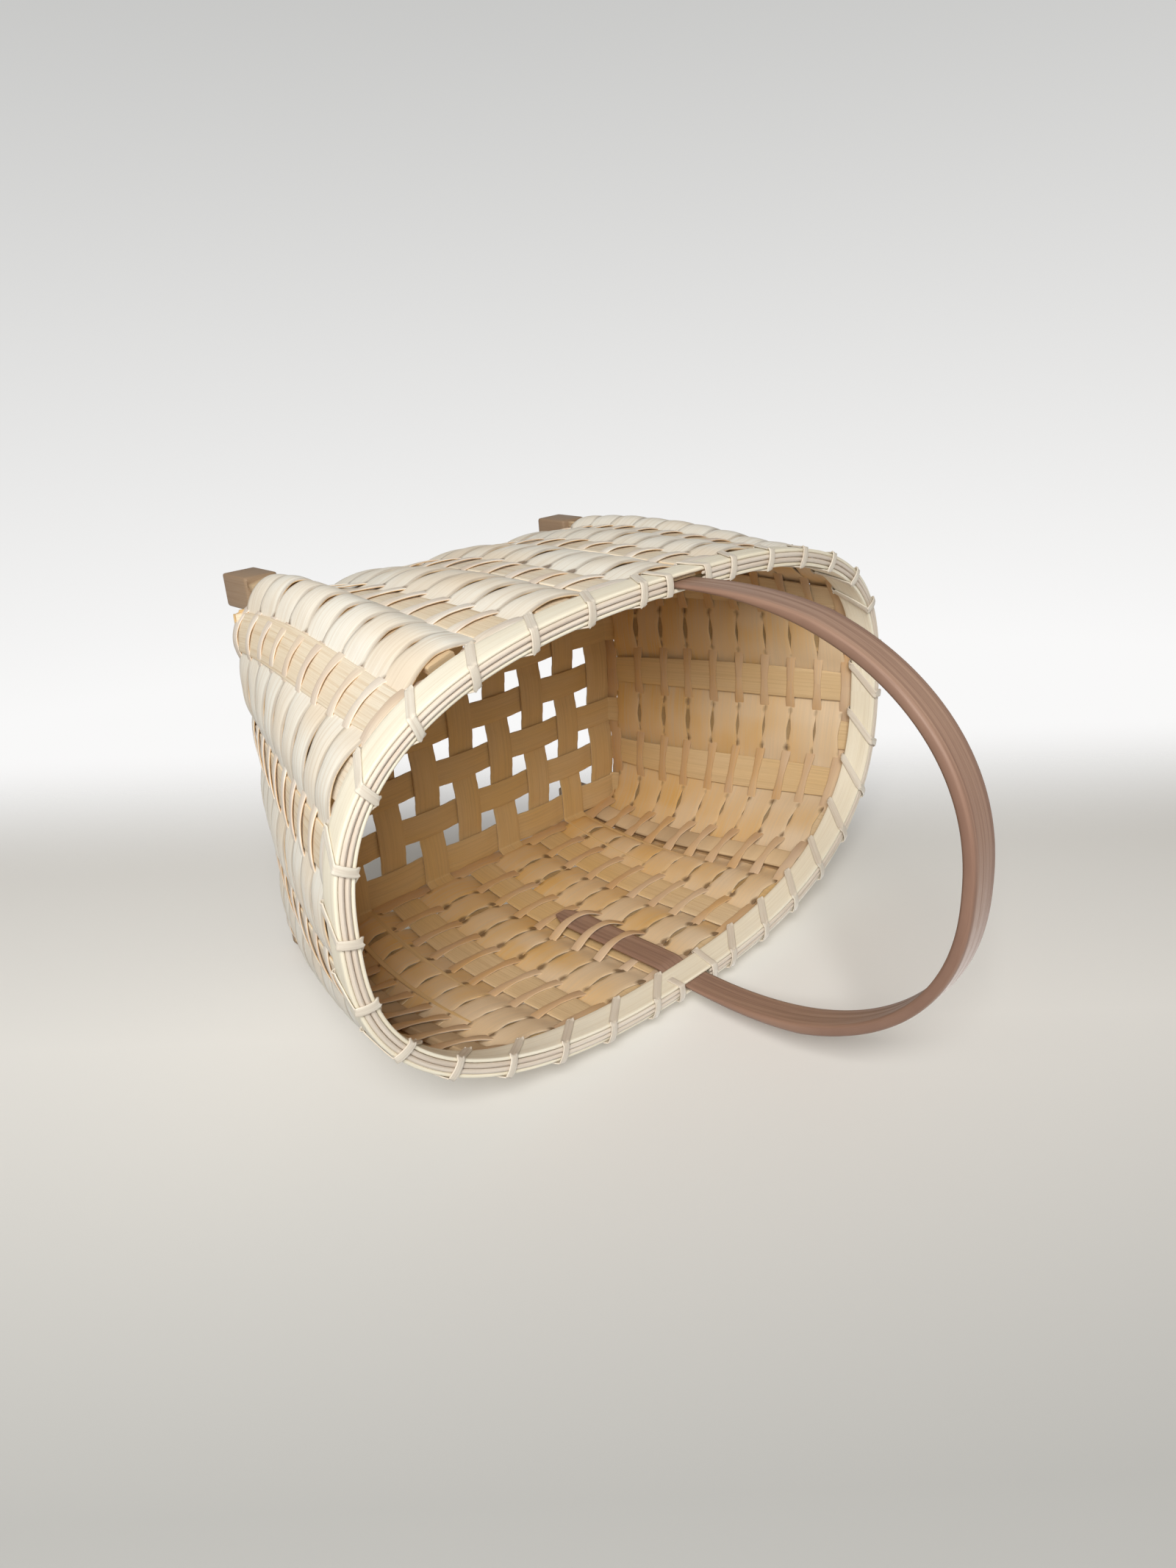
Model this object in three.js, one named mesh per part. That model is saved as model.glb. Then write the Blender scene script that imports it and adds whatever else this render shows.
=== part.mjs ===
// Chair-side basket of woven splint on four wooden feet, with a fixed bent-wood handle.
// Millimetres, +Z up. X runs along the length, Y across it, and the floor is z = 0.
// Every strip is a solid of its own: the stakes cross in the open bottom and turn up as the
// uprights, and each weaver is a ring that passes outside one upright and inside the next.
import * as THREE from 'three';

// Bottom
const SHORT_STAKES = 9;
const LONG_STAKES = 7;
const STAKE_WIDTH = 15;
const STAKE_SPREAD = 3;
const STAKE_THICK = 1.5;
const CROSSING_RISE = 0.95;
const BASE_HALF_X = 112.8;
const BASE_HALF_Y = 84.5;
const EDGE_X = 9.6;
const EDGE_Y = 9.5;
const FOLD_RADIUS = 1.6;
const FOLD_TOP = 3.4;

// Wall and mouth
const BASE_Z = 24;
const WALL_HEIGHT = 162;
const FLARE_X = 54.2;
const FLARE_Y = 10.5;
const RIM_HALF_X = BASE_HALF_X + FLARE_X;
const RIM_HALF_Y = BASE_HALF_Y + FLARE_Y;
const RIM_POWER = 2.6;
const RIM_DROP = 12;
const FLARE_BULGE = 0.24;
const SIDE_SWELL = 0.42;

// Weavers
const ROWS = 9;
const WIDE_WIDTH = 10.4;
const NARROW_WIDTH = 2.7;
const WIDE_THICK = 1.2;
const NARROW_THICK = 1;
const ROWS_START = 3.5;
const ROWS_TO_RIM = 17.2;
const CLEAR = 0.68;

// Rim: a flat hoop each side of the uprights, two round fillers between, and the lashing
const HOOP_HEIGHT = 13;
const HOOP_THICK = 1.6;
const OUTER_HOOP_FACE = 1.9;
const INNER_HOOP_FACE = -3.4;
const FILLER_RADIUS = 0.95;
const FILLER_OFFSETS = { outer: 0.4, inner: -2 };
const FILLER_LEVEL = -0.3;
const FILLER_STOP = 0.36;
const LASH_WIDTH = 4.2;
const LASH_THICK = 0.7;

// Handle: its tails go down inside the wall, behind the lower narrow weavers
const HANDLE_WIDTH = 16;
const HANDLE_RISE = 130;
const HANDLE_OUTSET = 0.5;
const HANDLE_HALF_SPAN = RIM_HALF_Y + HANDLE_OUTSET;
const HANDLE_POWER = 2.26;
const HANDLE_THICK = 5;
const HANDLE_CHAMFER = 0.7;
const TAIL_WIDTH = 15;
const TAIL_THICK = 2;
const TAIL_SHARE = 0.57;
const TAIL_LENGTH = TAIL_SHARE * WALL_HEIGHT;
const TAIL_AT_RIM = -2.1;
const TAIL_IN_WEAVE = -3.8;
const TAIL_ROWS = [6, 7, 8];
const TIP_WIDTH = 13;
const TIP_THICK = 1.6;

// Legs: a square foot with a flat upright above it, set at the ends of the outer short stakes
const FOOT_X = 16;
const FOOT_Y = 15;
const FOOT_CHAMFER = 1;
const FOOT_INSET_X = 0.5;
const FOOT_INSET_Y = 3.5;
const LEG_INSET = 6.7;
const LEG_OUTSET = 5;
const LEG_WIDTH = 12;
const LEG_THICK = 5;
const LEG_TO_RIM = 17;
const SHOULDER = 2.2;
const SHOULDER_STEP = 0.1;

const SPLINT = { color: 0xeee6cc, roughness: 0.72 };
const BIND = { color: 0xdccfb4, roughness: 0.75 };
const BENT_WOOD = { color: 0xa97f69, roughness: 0.6 };

// Columns: the uprights in order round the basket, counter-clockwise from the middle of the +X
// end. Even columns have the wide weavers outside and odd ones have them inside.
const COLUMNS = 2 * (SHORT_STAKES + LONG_STAKES);
const QUARTER = COLUMNS / 4;
const HALF_SHORT = (SHORT_STAKES - 1) / 2;
const HALF_LONG = (LONG_STAKES - 1) / 2;
const CORNER = HALF_LONG + 1;
const PITCH_X = (BASE_HALF_X - EDGE_X) / HALF_SHORT;
const PITCH_Y = (BASE_HALF_Y - EDGE_Y) / HALF_LONG;

// Where upright number c leaves the bottom: found in the first quarter and mirrored.
function basePoint(c) {
  const turn = THREE.MathUtils.euclideanModulo(c, COLUMNS);
  const first = Math.min(turn, Math.abs(2 * QUARTER - turn), COLUMNS - turn);
  const isEnd = first < CORNER;
  const isLegPlace = first === CORNER;
  const x = isEnd ? BASE_HALF_X : (QUARTER - first) * PITCH_X - (isLegPlace ? LEG_INSET : 0);
  const y = isEnd ? first * PITCH_Y : BASE_HALF_Y + (isLegPlace ? LEG_OUTSET : 0);
  const isLeft = turn > QUARTER && turn < 3 * QUARTER;
  const isFront = turn > 2 * QUARTER;
  return new THREE.Vector2(isLeft ? -x : x, isFront ? -y : y);
}

// The mouth is a superellipse, walked in equal steps of length so that the uprights fan out evenly.
class Mouth extends THREE.Curve {
  getPoint(t, target = new THREE.Vector3()) {
    const cos = Math.cos(2 * Math.PI * t);
    const sin = Math.sin(2 * Math.PI * t);
    const x = RIM_HALF_X * Math.sign(cos) * Math.abs(cos) ** (2 / RIM_POWER);
    const y = RIM_HALF_Y * Math.sign(sin) * Math.abs(sin) ** (2 / RIM_POWER);
    return target.set(x, y, 0);
  }
}
const mouth = new Mouth();
mouth.arcLengthDivisions = 4000;
function rimPoint(c) {
  const point = mouth.getPointAt(c / COLUMNS);
  return new THREE.Vector2(point.x, point.y);
}

// Columns and the places between them, worked out once in steps of a quarter of a column.
const STEPS = 4;
const baseRing = [];
const rimRing = [];
for (let k = 0; k < COLUMNS * STEPS; k++) {
  const c = k / STEPS;
  const left = basePoint(Math.floor(c));
  baseRing.push(left.lerp(basePoint(Math.floor(c) + 1), c % 1));
  rimRing.push(rimPoint(c));
}
function onRing(ring, c) {
  const at = THREE.MathUtils.euclideanModulo(c * STEPS, ring.length);
  const low = Math.floor(at);
  return ring[low].clone().lerp(ring[(low + 1) % ring.length], at - low);
}

// A point of the wall's middle surface: c round the basket, v from the bottom (0) to the rim (1).
function wallPoint(c, v) {
  const flare = v + FLARE_BULGE * v * (1 - v);
  const rim = onRing(rimRing, c);
  const flat = onRing(baseRing, c).lerp(rim, flare);
  const swell = 1 + SIDE_SWELL * v * (1 - v) ** 2;
  const height = WALL_HEIGHT - RIM_DROP * (rim.x / RIM_HALF_X) ** 2;
  return new THREE.Vector3(flat.x, flat.y * swell, BASE_Z + v * height);
}

// The wall's own axes at (c, v): along the ring, up the wall and outwards.
function wallFrame(c, v) {
  const dv = 0.01;
  const low = Math.min(v, 1 - dv);
  const origin = wallPoint(c, v);
  const up = wallPoint(c, low + dv).sub(wallPoint(c, low)).normalize();
  const along = wallPoint(c + 1, v).sub(wallPoint(c - 1, v));
  along.addScaledVector(up, -along.dot(up)).normalize();
  const out = along.clone().cross(up);
  return { origin, along, up, out };
}

// The length of the wall at column c, from the bottom to the rim.
function wallLength(c) {
  return wallPoint(c, 1).distanceTo(wallPoint(c, 0));
}

// A rectangle of the given size across axes a and b, which turn right-handed about the path.
function rectangle(centre, a, width, b, thick) {
  const corners = [[-1, -1], [1, -1], [1, 1], [-1, 1]];
  return corners.map(([i, j]) => centre.clone()
    .addScaledVector(a, (i * width) / 2)
    .addScaledVector(b, (j * thick) / 2));
}

// A rectangle with its corners taken off.
function softRectangle(centre, a, width, b, thick, chamfer) {
  const w = width / 2;
  const t = thick / 2;
  const outline = [
    [-w + chamfer, -t], [w - chamfer, -t], [w, -t + chamfer], [w, t - chamfer],
    [w - chamfer, t], [-w + chamfer, t], [-w, t - chamfer], [-w, -t + chamfer],
  ];
  return outline.map(([i, j]) => centre.clone().addScaledVector(a, i).addScaledVector(b, j));
}

// One closed body through a list of sections, joined to its own start or closed by flat ends.
function loft(sections, ring) {
  const sides = sections[0].length;
  const spans = ring ? sections.length : sections.length - 1;
  const index = [];
  for (let i = 0; i < spans; i++) {
    const a = i * sides;
    const b = ((i + 1) % sections.length) * sides;
    for (let j = 0; j < sides; j++) {
      const k = (j + 1) % sides;
      index.push(a + j, a + k, b + k, a + j, b + k, b + j);
    }
  }
  const last = (sections.length - 1) * sides;
  for (let j = 1; !ring && j < sides - 1; j++) {
    index.push(0, j + 1, j, last, last + j, last + j + 1);
  }
  const geometry = new THREE.BufferGeometry().setFromPoints(sections.flat());
  geometry.setIndex(index);
  geometry.computeVertexNormals();
  return geometry;
}

const basket = new THREE.Group();
function addPart(name, geometry, look) {
  const material = new THREE.MeshStandardMaterial({ ...look, metalness: 0 });
  const mesh = new THREE.Mesh(geometry, material);
  mesh.name = name;
  basket.add(mesh);
}

// Stakes: the part on one wall, widest at half height, and the quarter turn of the fold.
const DOWN = new THREE.Vector3(0, 0, -1);
const STAKE_TOP = 2.6;
const SIDE_SPANS = 10;
const END_SPANS = 9;
function uprightWidth(v) {
  return STAKE_WIDTH + STAKE_SPREAD * 4 * v * (1 - v);
}
function uprightSections(c, side, spans) {
  const top = 1 - STAKE_TOP / wallLength(c);
  const low = FOLD_TOP / WALL_HEIGHT;
  const sections = [];
  for (let k = 0; k <= spans; k++) {
    const v = top + (low - top) * (k / spans);
    const { origin, along, out } = wallFrame(c, v);
    sections.push(rectangle(origin, along.multiplyScalar(side), uprightWidth(v), out, STAKE_THICK));
  }
  return sections;
}
function foldSections(c, inward, across, rise) {
  const base = onRing(baseRing, c);
  const centre = new THREE.Vector3(base.x, base.y, BASE_Z + rise + FOLD_RADIUS);
  centre.addScaledVector(inward, FOLD_RADIUS);
  return [Math.PI / 4, Math.PI / 2].map((angle) => {
    const out = inward.clone().multiplyScalar(-Math.cos(angle));
    out.addScaledVector(DOWN, Math.sin(angle));
    const middle = centre.clone().addScaledVector(out, FOLD_RADIUS);
    return rectangle(middle, across, STAKE_WIDTH, out, STAKE_THICK);
  });
}

// The sections of a stake along the bottom, two at each stake that it crosses.
const CROSSING_MARGIN = 0.2;
const FLAT = STAKE_WIDTH / 2 + CROSSING_MARGIN;
function bottomSections(crossings, inward, across) {
  return crossings.flatMap(({ point, rise }) => [-FLAT, FLAT].map((shift) => {
    const middle = point.clone().addScaledVector(inward, shift);
    middle.z = BASE_Z + rise;
    return rectangle(middle, across, STAKE_WIDTH, DOWN, STAKE_THICK);
  }));
}

// A stake runs down one wall, over and under the stakes it crosses, and up the other wall.
function stake(start, end, crossings, inward, across, spans) {
  const outward = inward.clone().negate();
  const firstRise = crossings[0].rise;
  const lastRise = crossings[crossings.length - 1].rise;
  const firstFold = foldSections(start, inward, across, firstRise);
  const lastFold = foldSections(end, outward, across, lastRise);
  const down = [...uprightSections(start, 1, spans), ...firstFold];
  const up = [...uprightSections(end, -1, spans), ...lastFold].reverse();
  return loft([...down, ...bottomSections(crossings, inward, across), ...up], false);
}

function crossing(i, j, isShort) {
  const shortIsOver = (i + j) % 2 === 0;
  const rise = shortIsOver === isShort ? CROSSING_RISE : -CROSSING_RISE;
  return { point: new THREE.Vector3(i * PITCH_X, j * PITCH_Y, BASE_Z), rise };
}

// The two outer short stakes have no uprights and stop short of the legs.
function addStakes() {
  const toMinusY = new THREE.Vector3(0, -1, 0);
  const toMinusX = new THREE.Vector3(-1, 0, 0);
  const plusY = new THREE.Vector3(0, 1, 0);
  for (let i = -HALF_SHORT; i <= HALF_SHORT; i++) {
    const crossings = [];
    for (let j = HALF_LONG; j >= -HALF_LONG; j--) crossings.push(crossing(i, j, true));
    const isOuter = Math.abs(i) === HALF_SHORT;
    const geometry = isOuter
      ? loft(bottomSections(crossings, toMinusY, toMinusX), false)
      : stake(QUARTER - i, 3 * QUARTER + i, crossings, toMinusY, toMinusX, SIDE_SPANS);
    addPart(`short_stake_${i + HALF_SHORT + 1}`, geometry, SPLINT);
  }
  for (let j = -HALF_LONG; j <= HALF_LONG; j++) {
    const crossings = [];
    for (let i = HALF_SHORT; i >= -HALF_SHORT; i--) crossings.push(crossing(i, j, false));
    const geometry = stake(j, 2 * QUARTER - j, crossings, toMinusX, plusY, END_SPANS);
    addPart(`long_stake_${j + HALF_LONG + 1}`, geometry, SPLINT);
  }
}

// How far a weaver stands off the wall's middle surface as it passes column c.
function isLeg(c) {
  const place = c % (2 * QUARTER);
  return place === CORNER || place === 2 * QUARTER - CORNER;
}
function standOff(c, row, isWide) {
  const isOut = (c % 2 === 0) === isWide;
  const off = CLEAR + (isWide ? WIDE_THICK : NARROW_THICK) / 2;
  const isTail = c % (2 * QUARTER) === QUARTER && !isWide && TAIL_ROWS.includes(row);
  if (isTail) return TAIL_IN_WEAVE - TAIL_THICK / 2 - off;
  const core = isLeg(c) ? LEG_THICK : STAKE_THICK;
  return (isOut ? 1 : -1) * (core / 2 + off);
}

// A weaver: flat where it passes an upright and straight across the gap to the next one.
const PASS_MARGIN = 0.8;
function weaver(v, row, isWide) {
  const width = isWide ? WIDE_WIDTH : NARROW_WIDTH;
  const thick = isWide ? WIDE_THICK : NARROW_THICK;
  const sections = [];
  for (let c = 0; c < COLUMNS; c++) {
    const { origin, along, up, out } = wallFrame(c, v);
    const middle = origin.addScaledVector(out, standOff(c, row, isWide));
    const pass = (isLeg(c) ? LEG_WIDTH : uprightWidth(v)) / 2 + PASS_MARGIN;
    for (const shift of [-pass, pass]) {
      const place = middle.clone().addScaledVector(along, shift);
      sections.push(rectangle(place, up, width, out, thick));
    }
  }
  return loft(sections, true);
}

// The rows climb the wall in pairs, a narrow weaver and then a wide one, with a narrow one on top.
function addWeavers() {
  const pair = (WALL_HEIGHT - ROWS_START - NARROW_WIDTH - ROWS_TO_RIM) / ROWS;
  const narrowMiddle = ROWS_START + NARROW_WIDTH / 2;
  const wideMiddle = ROWS_START + (NARROW_WIDTH + pair) / 2;
  for (let row = 1; row <= ROWS + 1; row++) {
    const narrow = (narrowMiddle + (row - 1) * pair) / WALL_HEIGHT;
    addPart(`narrow_weaver_${row}`, weaver(narrow, row, false), SPLINT);
  }
  for (let row = 1; row <= ROWS; row++) {
    const wide = (wideMiddle + (row - 1) * pair) / WALL_HEIGHT;
    addPart(`wide_weaver_${row}`, weaver(wide, row, true), SPLINT);
  }
}

// A place on the rim, by its distance out from the wall and up from the rim's edge.
function rimPlace(c, out, level) {
  const frame = wallFrame(c, 1);
  const point = frame.origin.addScaledVector(frame.out, out).addScaledVector(frame.up, level);
  return { ...frame, point };
}

const HOOP_STEPS = 3;
function hoop(middle) {
  const sections = [];
  for (let k = 0; k < HOOP_STEPS * COLUMNS; k++) {
    const { point, up, out } = rimPlace(k / HOOP_STEPS, middle, -HOOP_HEIGHT / 2);
    sections.push(rectangle(point, up, HOOP_HEIGHT, out, HOOP_THICK));
  }
  return loft(sections, true);
}

// A filler: a round reed between the hoops, from one side of the handle to the other.
const FILLER_SIDES = 5;
function filler(from, out) {
  const places = [FILLER_STOP];
  for (let c = 0.5; c < 2 * QUARTER; c += 0.5) places.push(c);
  places.push(2 * QUARTER - FILLER_STOP);
  const sections = [];
  for (const place of places) {
    const frame = rimPlace(from + place, out, FILLER_LEVEL);
    const round = [];
    for (let s = 0; s < FILLER_SIDES; s++) {
      const angle = (2 * Math.PI * s) / FILLER_SIDES;
      round.push(frame.point.clone()
        .addScaledVector(frame.up, FILLER_RADIUS * Math.cos(angle))
        .addScaledVector(frame.out, FILLER_RADIUS * Math.sin(angle)));
    }
    sections.push(round);
  }
  return loft(sections, false);
}

// One turn of the lashing round the rim, as distance out and level. It climbs the outer hoop,
// crosses the top and goes down the inner hoop. It runs straight past the hoops' curve, so it
// needs some room for that.
const LASH_SAG = 0.3;
const LASH_OFF = LASH_THICK / 2 + CLEAR + LASH_SAG;
const LASH_OUT = OUTER_HOOP_FACE + HOOP_THICK + LASH_OFF;
const LASH_IN = INNER_HOOP_FACE - HOOP_THICK - LASH_OFF;
const LASH_MIDDLE = (LASH_OUT + LASH_IN) / 2;
const LASH_CROWN = 2.4;
const BEND = 0.9;
const OVER = 1.3;
const EDGE = 0.15;
const LASH_TURN = [
  [LASH_OUT - BEND, -HOOP_HEIGHT - OVER],
  [LASH_OUT, -HOOP_HEIGHT - EDGE],
  [LASH_OUT, EDGE],
  [LASH_OUT - BEND, OVER],
  [LASH_MIDDLE, LASH_CROWN],
  [LASH_IN + BEND, OVER],
  [LASH_IN, EDGE],
  [LASH_IN, -HOOP_HEIGHT - EDGE],
  [LASH_IN + BEND, -HOOP_HEIGHT - OVER],
];

// Where each point of a turn stands, in columns. The turns slant on from each gap between two
// uprights to the next; the first and the last stand almost square beside the handle.
const FIRST_TURN = [0.365, 0.38, 0.42, 0.425, 0.43, 0.435, 0.44, 0.545, 0.56];
const SLANT_TURN = [0.595, 0.61, 0.92, 0.94, 0.965, 0.99, 1, 1.545, 1.56];
const LAST_TURN = [0.585, 0.585, 0.58, 0.58, 0.58, 0.58, 0.58];
const SLANT_TURNS = 2 * QUARTER - 1;
const LASH_END = [LASH_IN, -HOOP_HEIGHT / 2];
function lashing(from) {
  const places = [...FIRST_TURN];
  for (let turn = 0; turn < SLANT_TURNS; turn++) places.push(...SLANT_TURN.map((c) => turn + c));
  places.push(...LAST_TURN.map((c) => SLANT_TURNS + c));
  const turns = places.map((c, k) => [...LASH_TURN[k % LASH_TURN.length], from + c]);
  turns.push([...LASH_END, turns[turns.length - 1][2]]);
  const { clamp } = THREE.MathUtils;
  const path = turns.map(([out, level, c]) => rimPlace(c, out, level).point);
  const core = turns.map(([out, level, c]) => {
    const inside = clamp(out, INNER_HOOP_FACE - HOOP_THICK, OUTER_HOOP_FACE + HOOP_THICK);
    return rimPlace(c, inside, clamp(level, -HOOP_HEIGHT, 0)).point;
  });
  const sections = path.map((point, k) => {
    const before = path[Math.max(k - 1, 0)];
    const after = path[Math.min(k + 1, path.length - 1)];
    const along = after.clone().sub(before).normalize();
    const off = point.clone().sub(core[k]);
    off.addScaledVector(along, -off.dot(along)).normalize();
    return rectangle(point, off.clone().cross(along), LASH_WIDTH, off, LASH_THICK);
  });
  return { geometry: loft(sections, false), path };
}

// The least gap between one turn of a lashing and the next, measured on its middle line.
function leastGap(path) {
  const turn = LASH_TURN.length;
  let least = Infinity;
  for (let k = 0; k + turn - 2 < path.length; k++) {
    for (let m = k + turn - 2; m < Math.min(k + 2 * turn, path.length); m++) {
      least = Math.min(least, path[k].distanceTo(path[m]) - LASH_WIDTH);
    }
  }
  return least;
}

function addRim() {
  addPart('rim_outer_hoop', hoop(OUTER_HOOP_FACE + HOOP_THICK / 2), SPLINT);
  addPart('rim_inner_hoop', hoop(INNER_HOOP_FACE - HOOP_THICK / 2), SPLINT);
  const sides = { left: QUARTER, right: 3 * QUARTER };
  for (const [side, from] of Object.entries(sides)) {
    for (const [ring, out] of Object.entries(FILLER_OFFSETS)) {
      addPart(`rim_filler_${ring}_${side}`, filler(from, out), BIND);
    }
    const { geometry, path } = lashing(from);
    addPart(`rim_lashing_${side}`, geometry, BIND);
    console.log(`rim_lashing_${side}: least gap between turns ${leastGap(path).toFixed(1)} mm`);
  }
}

// The handle's middle line on the +Y side: the tail inside the wall, and half of the arch.
const TAIL_STATIONS = [1, 0.97, 0.7, 0.4, 0.19, 0.14, 0];
const TAIL_IN_RIM = 0.14;
const ARCH_STEPS = 14;
const THICKENING_STEPS = 4;
function handleHalf() {
  const { lerp } = THREE.MathUtils;
  const stations = [];
  for (const share of TAIL_STATIONS) {
    const v = 1 - (share * TAIL_LENGTH) / wallLength(QUARTER);
    const { origin, out } = wallFrame(QUARTER, v);
    const isTip = share === 1;
    const isRim = share <= TAIL_IN_RIM;
    stations.push({
      point: origin.addScaledVector(out, isRim ? TAIL_AT_RIM : TAIL_IN_WEAVE),
      thick: isTip ? TIP_THICK : TAIL_THICK,
      width: isTip ? TIP_WIDTH : TAIL_WIDTH,
    });
  }
  const spring = stations[stations.length - 1].point;
  for (let k = 1; k <= ARCH_STEPS; k++) {
    const angle = (Math.PI / 2) * (k / ARCH_STEPS);
    const share = Math.min(1, k / THICKENING_STEPS);
    const cos = k === ARCH_STEPS ? 0 : Math.cos(angle) ** (2 / HANDLE_POWER);
    const y = cos * lerp(spring.y, HANDLE_HALF_SPAN, share);
    const z = spring.z + HANDLE_RISE * Math.sin(angle) ** (2 / HANDLE_POWER);
    stations.push({
      point: new THREE.Vector3(0, y, z),
      thick: lerp(TAIL_THICK, HANDLE_THICK, share),
      width: lerp(TAIL_WIDTH, HANDLE_WIDTH, share),
    });
  }
  return stations;
}
function addHandle() {
  const half = handleHalf();
  const mirror = half.slice(0, -1).reverse().map(({ point, ...rest }) => (
    { point: new THREE.Vector3(0, -point.y, point.z), ...rest }
  ));
  const stations = [...half, ...mirror];
  const across = new THREE.Vector3(1, 0, 0);
  const sections = stations.map(({ point, thick, width }, k) => {
    const before = stations[Math.max(k - 1, 0)].point;
    const after = stations[Math.min(k + 1, stations.length - 1)].point;
    const off = after.clone().sub(before).normalize().cross(across);
    return softRectangle(point, across, width, off, thick, HANDLE_CHAMFER);
  });
  addPart('handle', loft(sections, false), BENT_WOOD);
}

// A leg: the foot block up to the bottom, a square shoulder, and the flat upright in the weave.
const LEG_STATIONS = [0.03, 0.1, 0.18, 0.27, 0.38, 0.5, 0.62, 0.75];
function leg(c) {
  const base = wallFrame(c, 0);
  const sideX = Math.sign(base.origin.x);
  const sideY = Math.sign(base.origin.y);
  const x = base.origin.x - sideX * FOOT_INSET_X;
  const y = base.origin.y - sideY * FOOT_INSET_Y;
  const axisA = new THREE.Vector3(0, sideY, 0);
  const axisB = new THREE.Vector3(-sideY, 0, 0);
  const footTop = BASE_Z - SHOULDER;
  const foot = [[0, 2 * FOOT_CHAMFER], [2 * FOOT_CHAMFER, 0], [footTop - SHOULDER_STEP, 0]];
  const sections = foot.map(([z, trim]) => {
    const middle = new THREE.Vector3(x, y, z);
    return rectangle(middle, axisA, FOOT_Y - trim, axisB, FOOT_X - trim);
  });
  const flatOut = base.out.clone().setZ(0).normalize();
  const flatAlong = base.along.clone().setZ(0).normalize();
  sections.push(rectangle(base.origin.setZ(footTop), flatOut, LEG_THICK, flatAlong, LEG_WIDTH));
  const top = 1 - LEG_TO_RIM / wallLength(c);
  for (const v of [...LEG_STATIONS, top]) {
    const { origin, out, along } = wallFrame(c, v);
    sections.push(rectangle(origin, out, LEG_THICK, along, LEG_WIDTH));
  }
  return loft(sections, false);
}
function addLegs() {
  const corners = [CORNER, 2 * QUARTER - CORNER, 2 * QUARTER + CORNER, COLUMNS - CORNER];
  corners.forEach((c, k) => addPart(`leg_${k + 1}`, leg(c), BENT_WOOD));
}

addStakes();
addWeavers();
addRim();
addHandle();
addLegs();

export default basket;
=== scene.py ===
# %% [markdown]
# # A chair-side basket of woven splint
#
# The real basket is woven by hand from thin flat strips of pale wood, called splints. Stakes
# cross in an open bottom and turn up as the uprights of the wall. Wide and narrow weavers run
# round the wall in turn, outside one upright and inside the next. Two flat hoops, two round
# reeds and a lashing close the rim. A bent-wood handle and four wooden legs are woven in.
#
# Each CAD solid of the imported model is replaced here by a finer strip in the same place. Every
# strip is a small outline carried along a path, worked out as whole numpy arrays.

import bpy
import numpy as np
from mathutils import Matrix


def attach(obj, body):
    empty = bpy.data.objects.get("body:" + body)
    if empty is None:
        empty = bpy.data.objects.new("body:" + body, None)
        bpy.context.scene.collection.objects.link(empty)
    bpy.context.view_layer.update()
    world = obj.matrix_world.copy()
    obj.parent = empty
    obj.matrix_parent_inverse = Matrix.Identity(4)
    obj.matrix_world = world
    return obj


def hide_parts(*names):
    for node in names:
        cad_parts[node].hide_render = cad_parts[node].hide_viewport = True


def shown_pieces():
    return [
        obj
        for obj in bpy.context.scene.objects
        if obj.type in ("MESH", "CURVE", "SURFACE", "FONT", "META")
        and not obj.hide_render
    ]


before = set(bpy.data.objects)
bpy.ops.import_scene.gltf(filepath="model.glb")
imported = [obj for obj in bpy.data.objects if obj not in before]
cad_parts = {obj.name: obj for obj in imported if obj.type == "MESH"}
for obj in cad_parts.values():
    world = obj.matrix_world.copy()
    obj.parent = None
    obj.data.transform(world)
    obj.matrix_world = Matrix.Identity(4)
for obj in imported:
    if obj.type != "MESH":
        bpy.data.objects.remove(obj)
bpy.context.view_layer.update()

# %% [markdown]
# ## The camera
#
# The photograph shows the basket lying on one long side, seen from close by. The model stands
# on its feet, so the camera is rolled instead of the basket. Its place and turn were fitted to
# the square openings of the bottom, the rim, the handle and the feet.

# %% Camera at the photograph's viewing angle
PHOTO_HEIGHT = 2133
FOCAL_PIXELS = 1467.6
SENSOR_HEIGHT = 36.0
CLIP_START = 0.01
CAMERA_PLACE = (-0.3233, 0.1903, 0.4638)
CAMERA_RIGHT = (0.708, -0.059, 0.703)
CAMERA_UP = (0.316, 0.918, -0.241)
CAMERA_BACK = (-0.631, 0.393, 0.669)

camera_data = bpy.data.cameras.new("photo_camera")
camera_data.sensor_fit = "VERTICAL"
camera_data.sensor_height = SENSOR_HEIGHT
camera_data.lens = FOCAL_PIXELS / PHOTO_HEIGHT * SENSOR_HEIGHT
camera_data.clip_start = CLIP_START
camera = bpy.data.objects.new("photo_camera", camera_data)
bpy.context.scene.collection.objects.link(camera)
axes = Matrix((CAMERA_RIGHT, CAMERA_UP, CAMERA_BACK)).transposed()
camera.matrix_world = Matrix.Translation(CAMERA_PLACE) @ axes.to_4x4()
bpy.context.scene.camera = camera
print("lens:", round(camera_data.lens, 2), "mm")

# %% [markdown]
# ## The wall as a surface
#
# Every strip lies on or beside one curved surface, so that surface comes first. Its two
# parameters are the column `c`, which counts the uprights round the basket, and the height `v`,
# from 0 at the bottom to 1 at the rim. The bottom is a rectangle with soft corners and the
# mouth is a superellipse, and the wall runs from one to the other with a slight bulge.
#
# Such a wall could be drawn as a mesh in Edit Mode. A formula is better here, because a strip can
# ask it for the point, the way up and the way outwards at any place between two uprights.

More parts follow.
